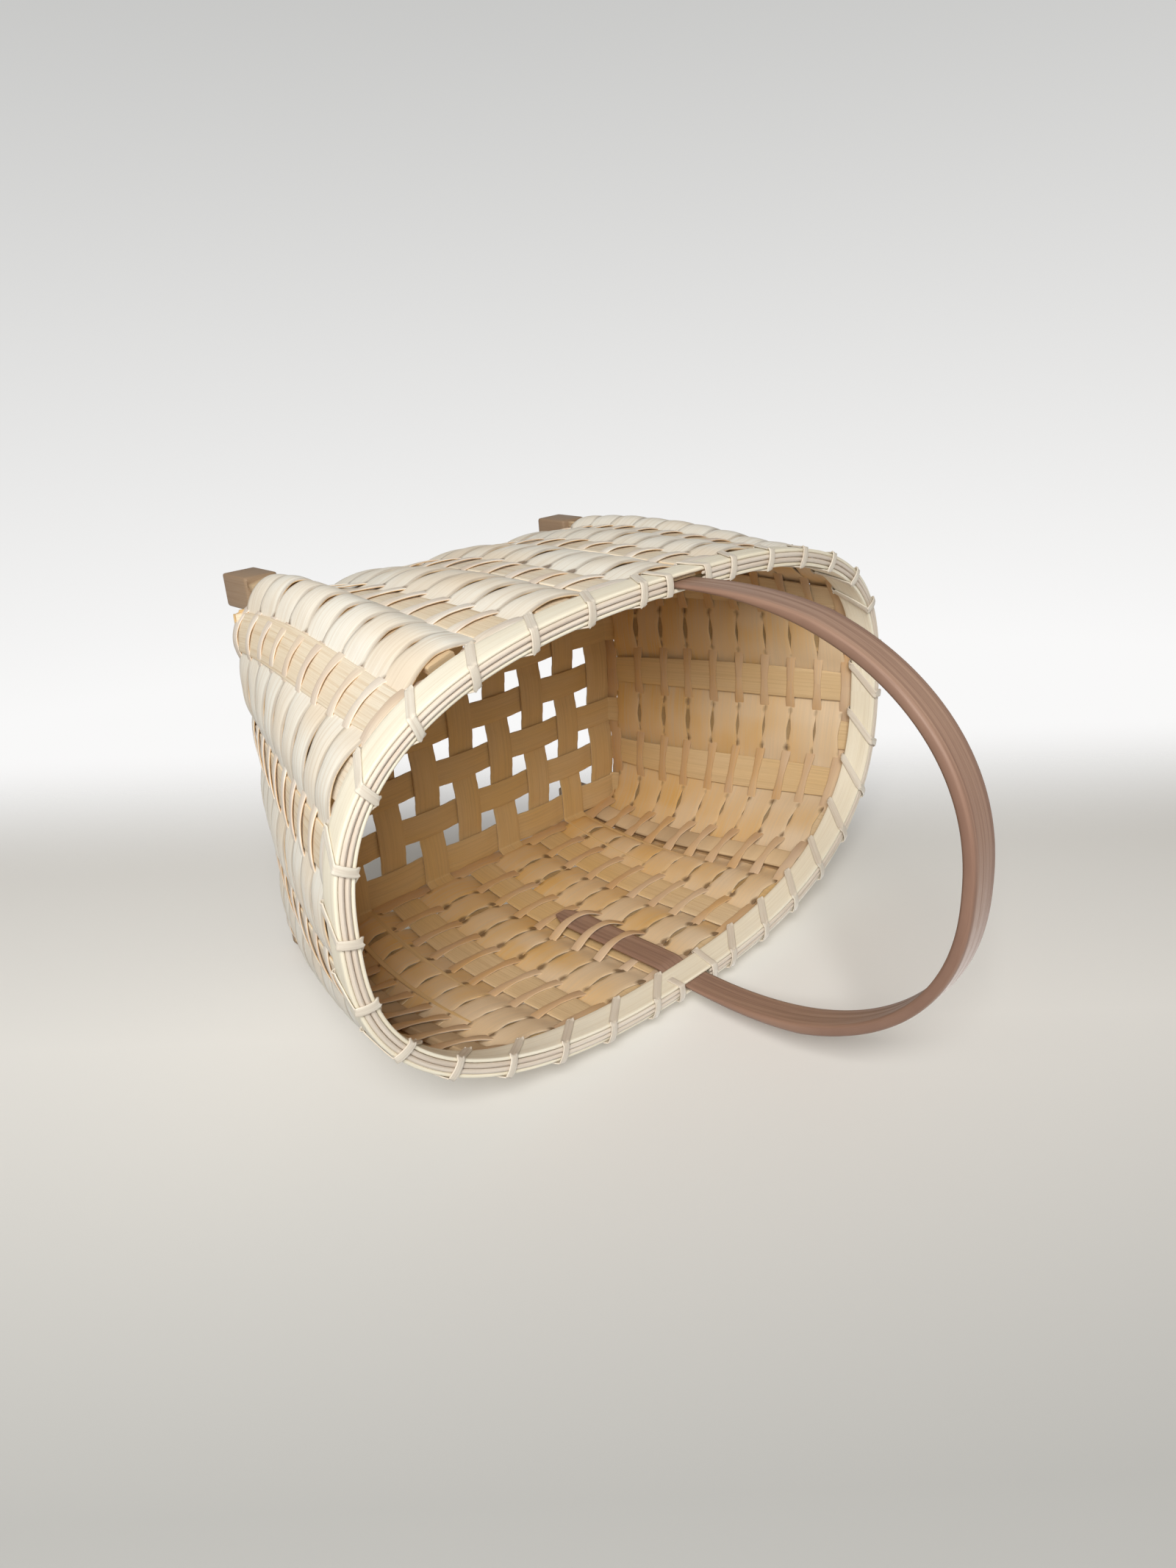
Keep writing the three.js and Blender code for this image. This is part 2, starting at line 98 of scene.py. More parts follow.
# %% Sizes of the basket, in millimetres
COLUMNS = 32
QUARTER = COLUMNS // 4
CORNER = 4
PITCH_X, PITCH_Y = 25.8, 25.0
BASE_HALF_X, BASE_HALF_Y, BASE_Z = 112.8, 84.5, 24.0
LEG_X, LEG_Y, LEG_SHIFT = 96.5, 89.5, 3.0
WALL_HEIGHT, RIM_DROP, FLARE_BULGE, SIDE_SWELL = 162.0, 12.0, 0.24, 0.42
RIM_HALF_X, RIM_HALF_Y, RIM_POWER = 167.0, 95.0, 2.6
BULGE_AT, BULGE_REACH, BULGE = 19.2, 2.4, np.array([-5.5, -3.5])
MM = 0.001


def base_ring():
    """The foot of each upright: equal steps along four sides, with a leg set in at each corner."""
    c = np.arange(COLUMNS)
    sides = [c < CORNER, c <= 3 * CORNER, c < 5 * CORNER, c <= 7 * CORNER]
    x = [BASE_HALF_X, (QUARTER - c) * PITCH_X, -BASE_HALF_X, (c - 3 * QUARTER) * PITCH_X]
    y = [c * PITCH_Y, BASE_HALF_Y, (2 * QUARTER - c) * PITCH_Y, -BASE_HALF_Y]
    x = np.select(sides, x, BASE_HALF_X)
    y = np.select(sides, y, (c - COLUMNS) * PITCH_Y)
    is_leg = c % (2 * CORNER) == CORNER
    x = np.where(is_leg, np.sign(x) * LEG_X, x)
    y = np.where(is_leg, np.sign(y) * (LEG_Y - np.sign(x) * LEG_SHIFT), y)
    return np.stack([x, y], axis=1)


def mouth_ring(c, steps=8000):
    """The mouth: the superellipse (x/a)^p + (y/b)^p = 1, read at equal steps of its length."""
    t = np.linspace(0, 2 * np.pi, steps)
    x = RIM_HALF_X * np.sign(np.cos(t)) * np.abs(np.cos(t)) ** (2 / RIM_POWER)
    y = RIM_HALF_Y * np.sign(np.sin(t)) * np.abs(np.sin(t)) ** (2 / RIM_POWER)
    length = np.concatenate([[0], np.cumsum(np.hypot(np.diff(x), np.diff(y)))])
    at = (np.asarray(c) % COLUMNS) / COLUMNS * length[-1]
    return np.stack([np.interp(at, length, x), np.interp(at, length, y)], axis=-1)


BASE = base_ring()
print("base corner:", BASE[CORNER], "mouth end:", mouth_ring(0.0))


# %% Points and axes of the wall
def through(points, c):
    """A closed Catmull-Rom curve: a cubic through the points that is smooth at each of them."""
    low = np.floor(c).astype(int)
    t = (c - low)[..., None]
    a, b, d, e = (points[(low + k) % len(points)] for k in (-1, 0, 1, 2))
    return 0.5 * (2 * b + (d - a) * t + (2 * a - 5 * b + 4 * d - e) * t**2
                  + (3 * b - a - 3 * d + e) * t**3)


def wall_point(c, v):
    """The base curve moved to the mouth by the flare v + k v (1 - v), and raised by v.

    The long sides swell by 1 + s v (1 - v)^2, and one corner bulges by a bell, exp(-d^2 / r^2).
    """
    c, v = np.broadcast_arrays(np.asarray(c, float), np.asarray(v, float))
    mouth = mouth_ring(c)
    flare = (v + FLARE_BULGE * v * (1 - v))[..., None]
    flat = through(BASE, c) * (1 - flare) + mouth * flare
    flat[..., 1] *= 1 + SIDE_SWELL * v * (1 - v) ** 2
    beside = ((c - BULGE_AT) % COLUMNS + COLUMNS / 2) % COLUMNS - COLUMNS / 2
    bell = np.exp(-beside ** 2 / BULGE_REACH**2)
    flat += (4 * v * (1 - v) * bell)[..., None] * BULGE
    height = WALL_HEIGHT - RIM_DROP * (mouth[..., 0] / RIM_HALF_X) ** 2
    return np.concatenate([flat, (BASE_Z + v * height)[..., None]], axis=-1)


def unit(vectors):
    """Each vector divided by its length."""
    return vectors / np.linalg.norm(vectors, axis=-1, keepdims=True)


def wall_frame(c, v, span=0.6, dv=0.01):
    """The wall's point and its axes along the ring, up the wall and outwards, by differences."""
    c, v = np.broadcast_arrays(np.asarray(c, float), np.asarray(v, float))
    low = np.clip(v, 0, 1 - dv)
    up = unit(wall_point(c, low + dv) - wall_point(c, low))
    along = wall_point(c + span, v) - wall_point(c - span, v)
    along = unit(along - np.sum(along * up, axis=-1, keepdims=True) * up)
    return wall_point(c, v), along, up, np.cross(along, up)


def wall_length(c):
    """The straight length of the wall at column c, from the bottom to the rim."""
    return float(np.linalg.norm(wall_point(c, 1.0) - wall_point(c, 0.0)))


print("wall length, side and end:", round(wall_length(QUARTER), 1), round(wall_length(0), 1))

# %% [markdown]
# ## Carrying an outline along a path
#
# A splint is flat with softly rounded edges. Its outline is stored as flat corners plus round
# corners, so that its width can change along the path while the edge radius stays the same. A
# crown lifts the middle of the outline, because a splint that was bent while wet stays cupped.
# A curve with a bevel profile could do part of this, but it keeps one outline all the way.
#
# The strip keeps a UV map in metres, along and across itself, which the grain will follow. Two
# numbers are stored on its points for the finish. `tone` goes from pale fresh wood to deep wood,
# and on the inside face it also holds painted shade. The other is painted shade alone: it is high
# where no light gets in between two strips, and darkens the colour there.


# %% The outline of a strip
def strip_outline(face_points, corner_points):
    """A rounded rectangle, counter-clockwise, as factors of its half sides and of its radius."""
    turn = np.linspace(0, np.pi / 2, corner_points)
    face = np.linspace(1, -1, face_points + 2)[1:-1]
    flat, rounded = [], []
    for quarter, (i, j) in enumerate([(1, 1), (-1, 1), (-1, -1), (1, -1)]):
        angle = turn + quarter * np.pi / 2
        flat.append(np.tile([i, j], (corner_points, 1)))
        rounded.append(np.stack([np.cos(angle), np.sin(angle)], axis=1))
        if quarter in (0, 2):
            flat.append(np.stack([face * j, np.full(face_points, j)], axis=1))
            rounded.append(np.stack([np.zeros(face_points), np.full(face_points, j)], axis=1))
    return np.concatenate(flat).astype(float), np.concatenate(rounded)


FINE = strip_outline(5, 3)
THIN = strip_outline(1, 3)
BACK_OF_FINE = (FINE[0][:, 1] < 0).astype(float)
BACK_OF_THIN = (THIN[0][:, 1] < 0).astype(float)
print("outline points:", len(FINE[0]), len(THIN[0]))


# %% From a path to a grid of points
ROUNDEST_EDGE = 0.98
CROWN_LEVEL = 0.4


def carry(path, across, normal, width, thick, radius, outline=FINE, crown=0.0):
    """Each outline point (a, b) goes to path + a across + (b - crown ((2a/width)^2 - k)) normal."""
    flat, rounded = outline
    sizes = (width / 2, thick / 2, crown)
    half, deep, lift = (np.broadcast_to(size, len(path))[:, None] for size in sizes)
    edge = np.minimum(radius, ROUNDEST_EDGE * deep)
    a = (half - edge) * flat[:, 0] + edge * rounded[:, 0]
    b = (deep - edge) * flat[:, 1] + edge * rounded[:, 1]
    b = b - lift * ((a / half) ** 2 - CROWN_LEVEL)
    grid = path[:, None] + a[..., None] * across[:, None] + b[..., None] * normal[:, None]
    return grid, a


def grid_faces(rows, points, closed):
    """Four-sided faces between neighbouring rows, round the outline and along the path."""
    i = np.arange(rows if closed else rows - 1)[:, None]
    j = np.arange(points)[None, :]
    after, beside = (i + 1) % rows, (j + 1) % points
    corners = np.broadcast_arrays(i * points + j, i * points + beside,
                                  after * points + beside, after * points + j)
    return np.stack(corners, axis=-1).reshape(-1, 4)


def outward(grid, path, closed):
    """True if the outline runs counter-clockwise seen from ahead, so that faces point outwards."""
    ahead = np.roll(path, -1, axis=0) - path
    spoke = grid - path[:, None]
    area = np.cross(spoke, np.roll(spoke, -1, axis=1)).sum(axis=1)
    turning = np.sum(area * ahead, axis=1)
    return np.sum(turning if closed else turning[:-1]) > 0


print("faces between two rows:", len(grid_faces(2, len(FINE[0]), False)))

# %% From a grid to a piece
SHARP_ANGLE = np.radians(50)


def store(mesh, name, values, rows, points):
    """A number on every point of the mesh, from one value for each row or for each point."""
    spread = np.broadcast_to(np.asarray(values, float).reshape(rows, -1), (rows, points))
    layer = mesh.attributes.new(name, "FLOAT", "POINT")
    layer.data.foreach_set("value", spread.astype(np.float32).ravel())


def strip_piece(name, node, material, grid, path, a, tone, closed=False, start=0.0,
                painted_shade=None):
    """One strip as a mesh with its UV map (length along, distance across), tone and painted shade.

    Its length counts from `start`, so that no two strips show the same stretch of grain.
    """
    rows, points = grid.shape[:2]
    quads = grid_faces(rows, points, closed)
    is_outward = outward(grid, path, closed)
    if not is_outward:
        quads = quads[:, ::-1]
    faces = quads.tolist()
    if not closed:
        caps = [np.arange(points)[::-1], (rows - 1) * points + np.arange(points)]
        faces += [cap.tolist() if is_outward else cap[::-1].tolist() for cap in caps]
    mesh = bpy.data.meshes.new(name)
    mesh.from_pydata((grid.reshape(-1, 3) * MM).tolist(), [], faces)
    corner = np.zeros(len(mesh.loops), dtype=np.int32)
    mesh.loops.foreach_get("vertex_index", corner)
    step = np.linalg.norm(np.roll(path, -1, axis=0) - path, axis=1)
    along = np.concatenate([[0], np.cumsum(step)])
    row = corner // points
    if closed:
        last = np.arange(len(corner)) >= (rows - 1) * points * 4
        row = np.where(last & (row == 0), rows, row)
    uv = np.stack([start + along[row] * MM, a.reshape(-1)[corner] * MM], axis=1)
    layer = mesh.uv_layers.new(name="strip")
    layer.data.foreach_set("uv", uv.astype(np.float32).ravel())
    store(mesh, "tone", tone, rows, points)
    # Painted shade, where the piece has any, is stored on its points as well.
    if painted_shade is not None:
        store(mesh, "painted_shade", painted_shade, rows, points)
    mesh.polygons.foreach_set("use_smooth", np.ones(len(mesh.polygons), dtype=bool))
    mesh.set_sharp_from_angle(angle=SHARP_ANGLE)
    mesh.materials.append(material)
    piece = bpy.data.objects.new(name, mesh)
    bpy.context.scene.collection.objects.link(piece)
    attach(piece, "root")
    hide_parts(node)


print("sharp edges from", round(np.degrees(SHARP_ANGLE)), "degrees")

# %% Tones of a strip
# Painted shade on the inside face of each strip: deepest at the bottom, least at the rim.
INSIDE_SHADE_LOW, INSIDE_SHADE_HIGH = 1.0, 0.53
rng = np.random.default_rng(7)


def drifting_tone(rows, mean, spread, knots):
    """A tone that wanders along a strip: random values at a few knots, joined by a smooth curve."""
    values = mean + spread * rng.standard_normal((knots, 1))
    return np.clip(through(values, np.linspace(0, knots, rows, endpoint=False))[:, 0], 0, 1)


def with_inside_shade(tone, back, path):
    """The strip's tone, with painted shade added on the back of the outline, the most at the
    bottom.
    """
    v = np.clip((path[:, 2] - BASE_Z) / WALL_HEIGHT, 0, 1)
    inside = INSIDE_SHADE_LOW + (INSIDE_SHADE_HIGH - INSIDE_SHADE_LOW) * v
    return np.clip(tone[:, None] + inside[:, None] * back, 0, 1)


print("inside tones, bottom and rim:", INSIDE_SHADE_LOW, INSIDE_SHADE_HIGH)

# %% [markdown]
# ## Finishes
#
# All the wood shares one effect: fine streaks that run along the strip. It is a node group that
# stretches a noise along the UV map's length, so each material only sets how long and how fine
# its streaks are. A second group gives soft blotches, which stand for the colour that changes
# from one part of the tree to another. A picture of wood could do the same, but it would repeat
# itself on so many strips.

# %% Small helpers for node trees
MIX_FACTOR, MIX_FIRST, MIX_SECOND, MIX_COLOUR = 0, 6, 7, 2


def new_node(tree, kind, inputs=None, **settings):
    """A shader node of this kind. Each input gets a link from a socket, or a plain value."""
    node = tree.nodes.new("ShaderNode" + kind)
    for name, value in settings.items():
        setattr(node, name, value)
    for socket, value in (inputs or {}).items():
        if isinstance(value, bpy.types.NodeSocket):
            tree.links.new(value, node.inputs[socket])
        else:
            node.inputs[socket].default_value = value
    return node


def stored(tree, name):
    """The number that the points of a strip carry under this name."""
    return new_node(tree, "Attribute", attribute_name=name).outputs["Fac"]


def mixed(tree, factor, first, second):
    """A colour between two: the first at factor 0, the second at factor 1."""
    colours = {MIX_FACTOR: factor, MIX_FIRST: first, MIX_SECOND: second}
    return new_node(tree, "Mix", colours, data_type="RGBA").outputs[MIX_COLOUR]


def ranged(tree, value, low, high, start=0.0, end=1.0, curve="LINEAR"):
    """A value from start to end moved to the range from low to high, and held at both ends."""
    ends = {"From Min": start, "From Max": end, "To Min": low, "To Max": high}
    node = new_node(tree, "MapRange", {"Value": value, **ends}, interpolation_type=curve)
    return node.outputs["Result"]


print("inputs of a colour mix:", MIX_FACTOR, MIX_FIRST, MIX_SECOND)

# %% Node groups: streaks along the grain, and blotches
NOISE_INPUTS = {"Length": 0.05, "Width": 0.001, "Low": 0.3, "High": 0.7}


def noise_group(name, detail, roughness):
    """A noise read at (along / Length, across / Width), spread from Low..High to 0..1."""
    group = bpy.data.node_groups.new(name, "ShaderNodeTree")
    face = group.interface
    face.new_socket("Vector", in_out="INPUT", socket_type="NodeSocketVector")
    for socket, value in NOISE_INPUTS.items():
        item = face.new_socket(socket, in_out="INPUT", socket_type="NodeSocketFloat")
        item.default_value = value
    face.new_socket("Value", in_out="OUTPUT", socket_type="NodeSocketFloat")
    given = group.nodes.new("NodeGroupInput").outputs
    result = group.nodes.new("NodeGroupOutput").inputs
    size = new_node(group, "CombineXYZ", {"X": given["Length"], "Y": given["Width"], "Z": 1.0})
    place = new_node(group, "VectorMath", {0: given["Vector"], 1: size.outputs["Vector"]},
                     operation="DIVIDE")
    looks = {"Scale": 1.0, "Detail": detail, "Roughness": roughness}
    noise = new_node(group, "TexNoise", {"Vector": place.outputs["Vector"], **looks},
                     noise_dimensions="2D")
    value = ranged(group, noise.outputs["Fac"], 0.0, 1.0, given["Low"], given["High"])
    group.links.new(value, result["Value"])
    return group


def placed(tree, group, uv, *numbers):
    """One use of a noise group, with its own streak length and width in metres, and its range."""
    inputs = {"Vector": uv, **dict(zip(NOISE_INPUTS, numbers))}
    return new_node(tree, "Group", inputs, node_tree=group).outputs["Value"]


GRAIN = noise_group("grain_streaks", detail=5.0, roughness=0.62)
BLOTCH = noise_group("wood_blotches", detail=2.0, roughness=0.5)
print("node groups:", GRAIN.name, BLOTCH.name)

# %% A wood finish built from the groups
# Painted shade: the stored amount darkens the wood towards this near-black brown.
PAINTED_SHADE_COLOUR = (0.12, 0.06, 0.02, 1)
PAINTED_SHADE_FROM, PAINTED_SHADE_TO, PAINTED_SHADE_SHARE = 0.25, 0.6, 0.8
BLOTCH_SHARE, STREAK_SHARE, FINE_SHARE = 0.3, 0.5, 0.28
RELIEF_DEPTH, WOOD_SPECULAR = 0.0002, 0.35


def wood_finish(name, pale, deep, streak, streaks, fine, blotch, rough=(0.5, 0.7), bump=0.3,
                tint=None):
    """Pale to deep by tone, tinted in blotches, darker along the streaks, and darkened by painted
    shade.
    """
    material = bpy.data.materials.new(name)
    material.use_nodes = True
    tree = material.node_tree
    shader = tree.nodes["Principled BSDF"]
    uv = new_node(tree, "UVMap", uv_map="strip").outputs["UV"]
    long_streaks = placed(tree, GRAIN, uv, *streaks)
    fine_streaks = placed(tree, GRAIN, uv, *fine)
    blotches = placed(tree, BLOTCH, uv, *blotch)
    base = mixed(tree, stored(tree, "tone"), pale, deep)
    base = mixed(tree, ranged(tree, blotches, 0.0, BLOTCH_SHARE), base, tint or deep)
    base = mixed(tree, ranged(tree, long_streaks, 0.0, STREAK_SHARE), base, streak)
    base = mixed(tree, ranged(tree, fine_streaks, 0.0, FINE_SHARE), base, streak)
    painted_shade = ranged(tree, stored(tree, "painted_shade"), 0.0, PAINTED_SHADE_SHARE, PAINTED_SHADE_FROM, PAINTED_SHADE_TO)
    base = mixed(tree, painted_shade, base, PAINTED_SHADE_COLOUR)
    tree.links.new(base, shader.inputs["Base Color"])
    tree.links.new(ranged(tree, long_streaks, *rough), shader.inputs["Roughness"])
    depth = {"Strength": bump, "Distance": RELIEF_DEPTH, "Height": fine_streaks}
    relief = new_node(tree, "Bump", depth)
    tree.links.new(relief.outputs["Normal"], shader.inputs["Normal"])
    shader.inputs["Specular IOR Level"].default_value = WOOD_SPECULAR
    return material


print("shares of the streaks:", STREAK_SHARE, FINE_SHARE)

# %% [markdown]
# The splints are bare wood and nearly white where it is fresh. The stakes are a little warmer
# than the weavers. The narrow weavers were split next to the bark, so some of them turn pinkish
# brown. The handle is a darker, pinkish wood, and so are the feet of the legs.

# %% Finishes of the pieces
STAKE_WOOD = wood_finish(
    "stake_splint", pale=(0.84, 0.80, 0.69, 1), deep=(0.71, 0.47, 0.19, 1),
    streak=(0.52, 0.35, 0.18, 1), streaks=(0.09, 0.0011, 0.45, 0.75),
    fine=(0.03, 0.00035), blotch=(0.06, 0.02), rough=(0.55, 0.75), bump=0.35,
    tint=(0.72, 0.57, 0.38, 1))
WEAVER_WOOD = wood_finish(
    "weaver_splint", pale=(0.86, 0.845, 0.77, 1), deep=(0.70, 0.40, 0.10, 1),
    streak=(0.62, 0.50, 0.35, 1), streaks=(0.08, 0.0012, 0.45, 0.75),
    fine=(0.03, 0.0004), blotch=(0.05, 0.02), tint=(0.80, 0.69, 0.55, 1))
NARROW_WOOD = wood_finish(
    "narrow_splint", pale=(0.86, 0.835, 0.75, 1), deep=(0.66, 0.40, 0.15, 1),
    streak=(0.56, 0.42, 0.30, 1), streaks=(0.05, 0.0010, 0.45, 0.75),
    fine=(0.02, 0.0004), blotch=(0.04, 0.01), tint=(0.42, 0.24, 0.17, 1))
HOOP_WOOD = wood_finish(
    "rim_hoop", pale=(0.92, 0.88, 0.75, 1), deep=(0.84, 0.74, 0.53, 1),
    streak=(0.68, 0.57, 0.40, 1), streaks=(0.12, 0.0014, 0.5, 0.8),
    fine=(0.04, 0.0004), blotch=(0.09, 0.02))
REED_WOOD = wood_finish(
    "rim_reed", pale=(0.84, 0.77, 0.67, 1), deep=(0.70, 0.60, 0.49, 1),
    streak=(0.54, 0.43, 0.33, 1), streaks=(0.07, 0.0008, 0.45, 0.7),
    fine=(0.03, 0.0003), blotch=(0.05, 0.01), rough=(0.55, 0.75), bump=0.4)
LASH_BARK = wood_finish(
    "lashing_bark", pale=(0.82, 0.77, 0.66, 1), deep=(0.68, 0.59, 0.48, 1),
    streak=(0.54, 0.44, 0.34, 1), streaks=(0.05, 0.0010, 0.45, 0.75),
    fine=(0.02, 0.0003), blotch=(0.03, 0.01), rough=(0.4, 0.6), bump=0.4)
HANDLE_WOOD = wood_finish(
    "handle_wood", pale=(0.52, 0.35, 0.245, 1), deep=(0.26, 0.145, 0.10, 1),
    streak=(0.16, 0.085, 0.06, 1), streaks=(0.13, 0.0021, 0.42, 0.66),
    fine=(0.06, 0.0006), blotch=(0.10, 0.006), rough=(0.45, 0.65), bump=0.35)
LEG_WOOD = wood_finish(
    "leg_wood", pale=(0.80, 0.60, 0.36, 1), deep=(0.26, 0.17, 0.105, 1),
    streak=(0.23, 0.15, 0.09, 1), streaks=(0.06, 0.0013, 0.45, 0.75),
    fine=(0.03, 0.0004), blotch=(0.05, 0.012), rough=(0.55, 0.75), bump=0.35)
print("finishes:", [m.name for m in bpy.data.materials])

# %% [markdown]
# ## Stakes
#
# A stake comes down one wall, folds into the bottom, goes over and under the stakes that it
# crosses, and folds up the other wall. The bottom part is a wave that is flattened where two
# stakes lie on each other, so the strips touch face to face and leave square openings. Bending a
# straight strip with a modifier would be shorter, but the two folds would come out too round.
#
# On the wall, one side of each upright is covered by the wide weavers. That side carries painted
# shade, because it shows only as a dark, shaded line in the gaps between the weavers.

# %% The bottom wave and the fold
SHORT_WIDTH, LONG_WIDTH, STAKE_SPREAD = 15.8, 14.6, 3.0
STAKE_THICK, STAKE_EDGE = 1.1, 0.35
STAKE_TOP, FOLD_TOP, FOLD_RADIUS = 2.6, 3.4, 1.8
CROSSING_RISE, FLATTEN, CUP_REACH = 0.85, 0.6, 0.3
COVERED_FROM, COVERED_TO, COVERED_SHADE = 0.08, 0.86, 0.46
DOWN = np.array([0, 0, -1.0])


def crossing_wave(s, pitch, sign):
    """sign * rise * |cos|^k, signed as the cosine is; s counts from the middle crossing."""
    cos = np.cos(np.pi * s / pitch)
    return sign * CROSSING_RISE * np.sign(cos) * np.abs(cos) ** FLATTEN


def cupping(c, v):
    """How far the ring bends away from a straight line across one upright."""
    chord = (wall_point(c - CUP_REACH, v) + wall_point(c + CUP_REACH, v)) / 2
    return np.linalg.norm(wall_point(c, v) - chord, axis=-1)


def upright(c, width, rows=44):
    """A stake on the wall, from its top end to the fold: its width swells as 4 v (1 - v).

    Its covered side is +1, the outside, at an even column, and -1, the inside, at an odd one.
    """
    v = np.linspace(1 - STAKE_TOP / wall_length(c), FOLD_TOP / WALL_HEIGHT, rows)
    point, along, _, out = wall_frame(np.full(rows, float(c)), v)
    covered = np.where((v > COVERED_FROM) & (v < COVERED_TO), 1.0 if c % 2 == 0 else -1.0, 0.0)
    return point, along, out, width + STAKE_SPREAD * 4 * v * (1 - v), cupping(c, v), covered


def fold(c, inward, across, width, rise, rows=6):
    """A quarter circle from the wall into the bottom, about an axis along the bottom's edge."""
    x, y = BASE[int(c) % COLUMNS]
    angle = np.linspace(0, np.pi / 2, rows + 1)[1:, None]
    out = -np.cos(angle) * inward + np.sin(angle) * DOWN
    centre = np.array([x, y, BASE_Z + rise + FOLD_RADIUS]) + FOLD_RADIUS * inward
    flat = np.zeros(rows)
    return centre + FOLD_RADIUS * out, np.tile(across, (rows, 1)), out, flat + width, flat, flat


def bottom_run(inward, across, place, half, pitch, sign, width, rows):
    """The flat part of a stake between its folds, with the wave of its crossings."""
    s = np.linspace(-half, half, rows)
    point = np.outer(s, inward) + place
    point[:, 2] = BASE_Z + crossing_wave(s, pitch, sign)
    flat = np.zeros(rows)
    return point, np.tile(across, (rows, 1)), np.tile(DOWN, (rows, 1)), flat + width, flat, flat


steps = np.array([0, PITCH_Y / 2, PITCH_Y])
print("wave height over one step:", np.round(crossing_wave(steps, PITCH_Y, 1), 2))

# %% Joining the parts of a stake
BOTTOM_ROWS = 120
STAKE_TONE = (0.22, 0.14, 7)  # mean, spread and knots


def joined(*runs):
    """Paths, across axes, normals, widths, crowns and covered sides, one run after the other."""
    return [np.concatenate(part) for part in zip(*runs)]


def turned_back(run):
    """The same run walked the other way, with its across axis turned so that it isn't twisted."""
    path, across, *others = run
    return path[::-1], -across[::-1], *(part[::-1] for part in others)


def whole_stake(start, end, inward, across, place, half, pitch, sign, width):
    """Down the wall, round the fold, along the bottom and up the other wall."""
    rise = float(crossing_wave(half, pitch, sign))
    first = joined(upright(start, width), fold(start, inward, across, width, rise))
    second = joined(upright(end, width), fold(end, -inward, -across, width, rise))
    bottom = bottom_run(inward, across, place, half, pitch, sign, width, BOTTOM_ROWS)
    return joined(first, bottom, turned_back(second))


def add_stake(name, run, seed):
    """The strip of one stake, with its tone and with painted shade on its covered side."""
    path, across, normal, width, crown, covered = run
    grid, a = carry(path, across, normal, width, STAKE_THICK, STAKE_EDGE, crown=crown)
    tone = with_inside_shade(drifting_tone(len(path), *STAKE_TONE), BACK_OF_FINE, path)
    # Painted shade on the covered side of the upright, away from its edges.
    painted_shade = COVERED_SHADE * np.clip(np.outer(covered, 1 - 2 * BACK_OF_FINE), 0, 1)
    painted_shade *= np.abs(FINE[0][:, 0]) < 1
    strip_piece(name + "_splint", name, STAKE_WOOD, grid, path, a, tone,
                start=seed, painted_shade=painted_shade)


print("rows along the bottom:", BOTTOM_ROWS)

# %% Short and long stakes
TO_MINUS_Y, TO_MINUS_X = np.array([0, -1.0, 0]), np.array([-1.0, 0, 0])
PLUS_Y = np.array([0, 1.0, 0])
SHORT_EACH_WAY, LONG_EACH_WAY = 4, 3
OUTER_STAKE_END, OUTER_SHIFT, FOLD_GAP = 82.7, 1.0, 0.4
FOLD_START = FOLD_RADIUS + FOLD_GAP
GRAIN_STEP, LONG_GRAIN = 3.1, 40
for i in range(-SHORT_EACH_WAY, SHORT_EACH_WAY + 1):
    place = np.array([i * PITCH_X, 0, 0])
    sign = 1 if (i + 1) % 2 else -1
    if abs(i) == SHORT_EACH_WAY:
        place += np.array([np.sign(i) * OUTER_SHIFT, 0, 0])
        run = bottom_run(TO_MINUS_Y, TO_MINUS_X, place, OUTER_STAKE_END, PITCH_Y, sign,
                         SHORT_WIDTH + 2 * OUTER_SHIFT, BOTTOM_ROWS)
    else:
        run = whole_stake(QUARTER - i, 3 * QUARTER + i, TO_MINUS_Y, TO_MINUS_X, place,
                          BASE_HALF_Y - FOLD_START, PITCH_Y, sign, SHORT_WIDTH)
    add_stake(f"short_stake_{i + SHORT_EACH_WAY + 1}", run, GRAIN_STEP * i)
for j in range(-LONG_EACH_WAY, LONG_EACH_WAY + 1):
    place = np.array([0, j * PITCH_Y, 0])
    sign = -1 if (j + 1) % 2 else 1
    is_outer = abs(j) == LONG_EACH_WAY
    place[1] += np.sign(j) * is_outer * OUTER_SHIFT
    run = whole_stake(j, 2 * QUARTER - j, TO_MINUS_X, PLUS_Y, place, BASE_HALF_X - FOLD_START,
                      PITCH_X, sign, LONG_WIDTH + 2 * is_outer * OUTER_SHIFT)
    add_stake(f"long_stake_{j + LONG_EACH_WAY + 1}", run, LONG_GRAIN + GRAIN_STEP * j)
print("stakes:", 2 * SHORT_EACH_WAY + 1, "short and", 2 * LONG_EACH_WAY + 1, "long")

# %% [markdown]
# ## Weavers
#
# A weaver is one closed ring. Its height `v` stays the same, and its distance from the wall
# swings from outside to inside and back. The wide weavers are stiff, so they stand well off the
# wall in a rounded float on the outside and lie closer on the inside. A straight strip could be
# bent round by a modifier, but a formula puts each dive exactly between two uprights.
#
# On the real basket the rows are pressed down tight. Here each weaver is wider where it dives,
# which closes the wall there. The wide ones carry painted shade on their edges: dark where they
# dive, most on the long sides, and a faint line all along their outer face.

# %% How far a weaver stands off the wall
LEG_COLUMNS = (4, 12, 20, 28)
HANDLE_COLUMNS = (8, 24)
TAIL_ROWS = (6, 7, 8)
TAIL_LENGTH, TAIL_THICK, TAIL_AT_RIM, TAIL_IN_WEAVE = 92.34, 2.0, -1.9, -3.8
WIDE_OFFS, NARROW_OFFS, LEG_OFFS, TAIL_CLEAR = (2.9, -1.3), (1.6, -1.25), (3.7, -2.8), 0.9
WEAVER_SAMPLES = 20


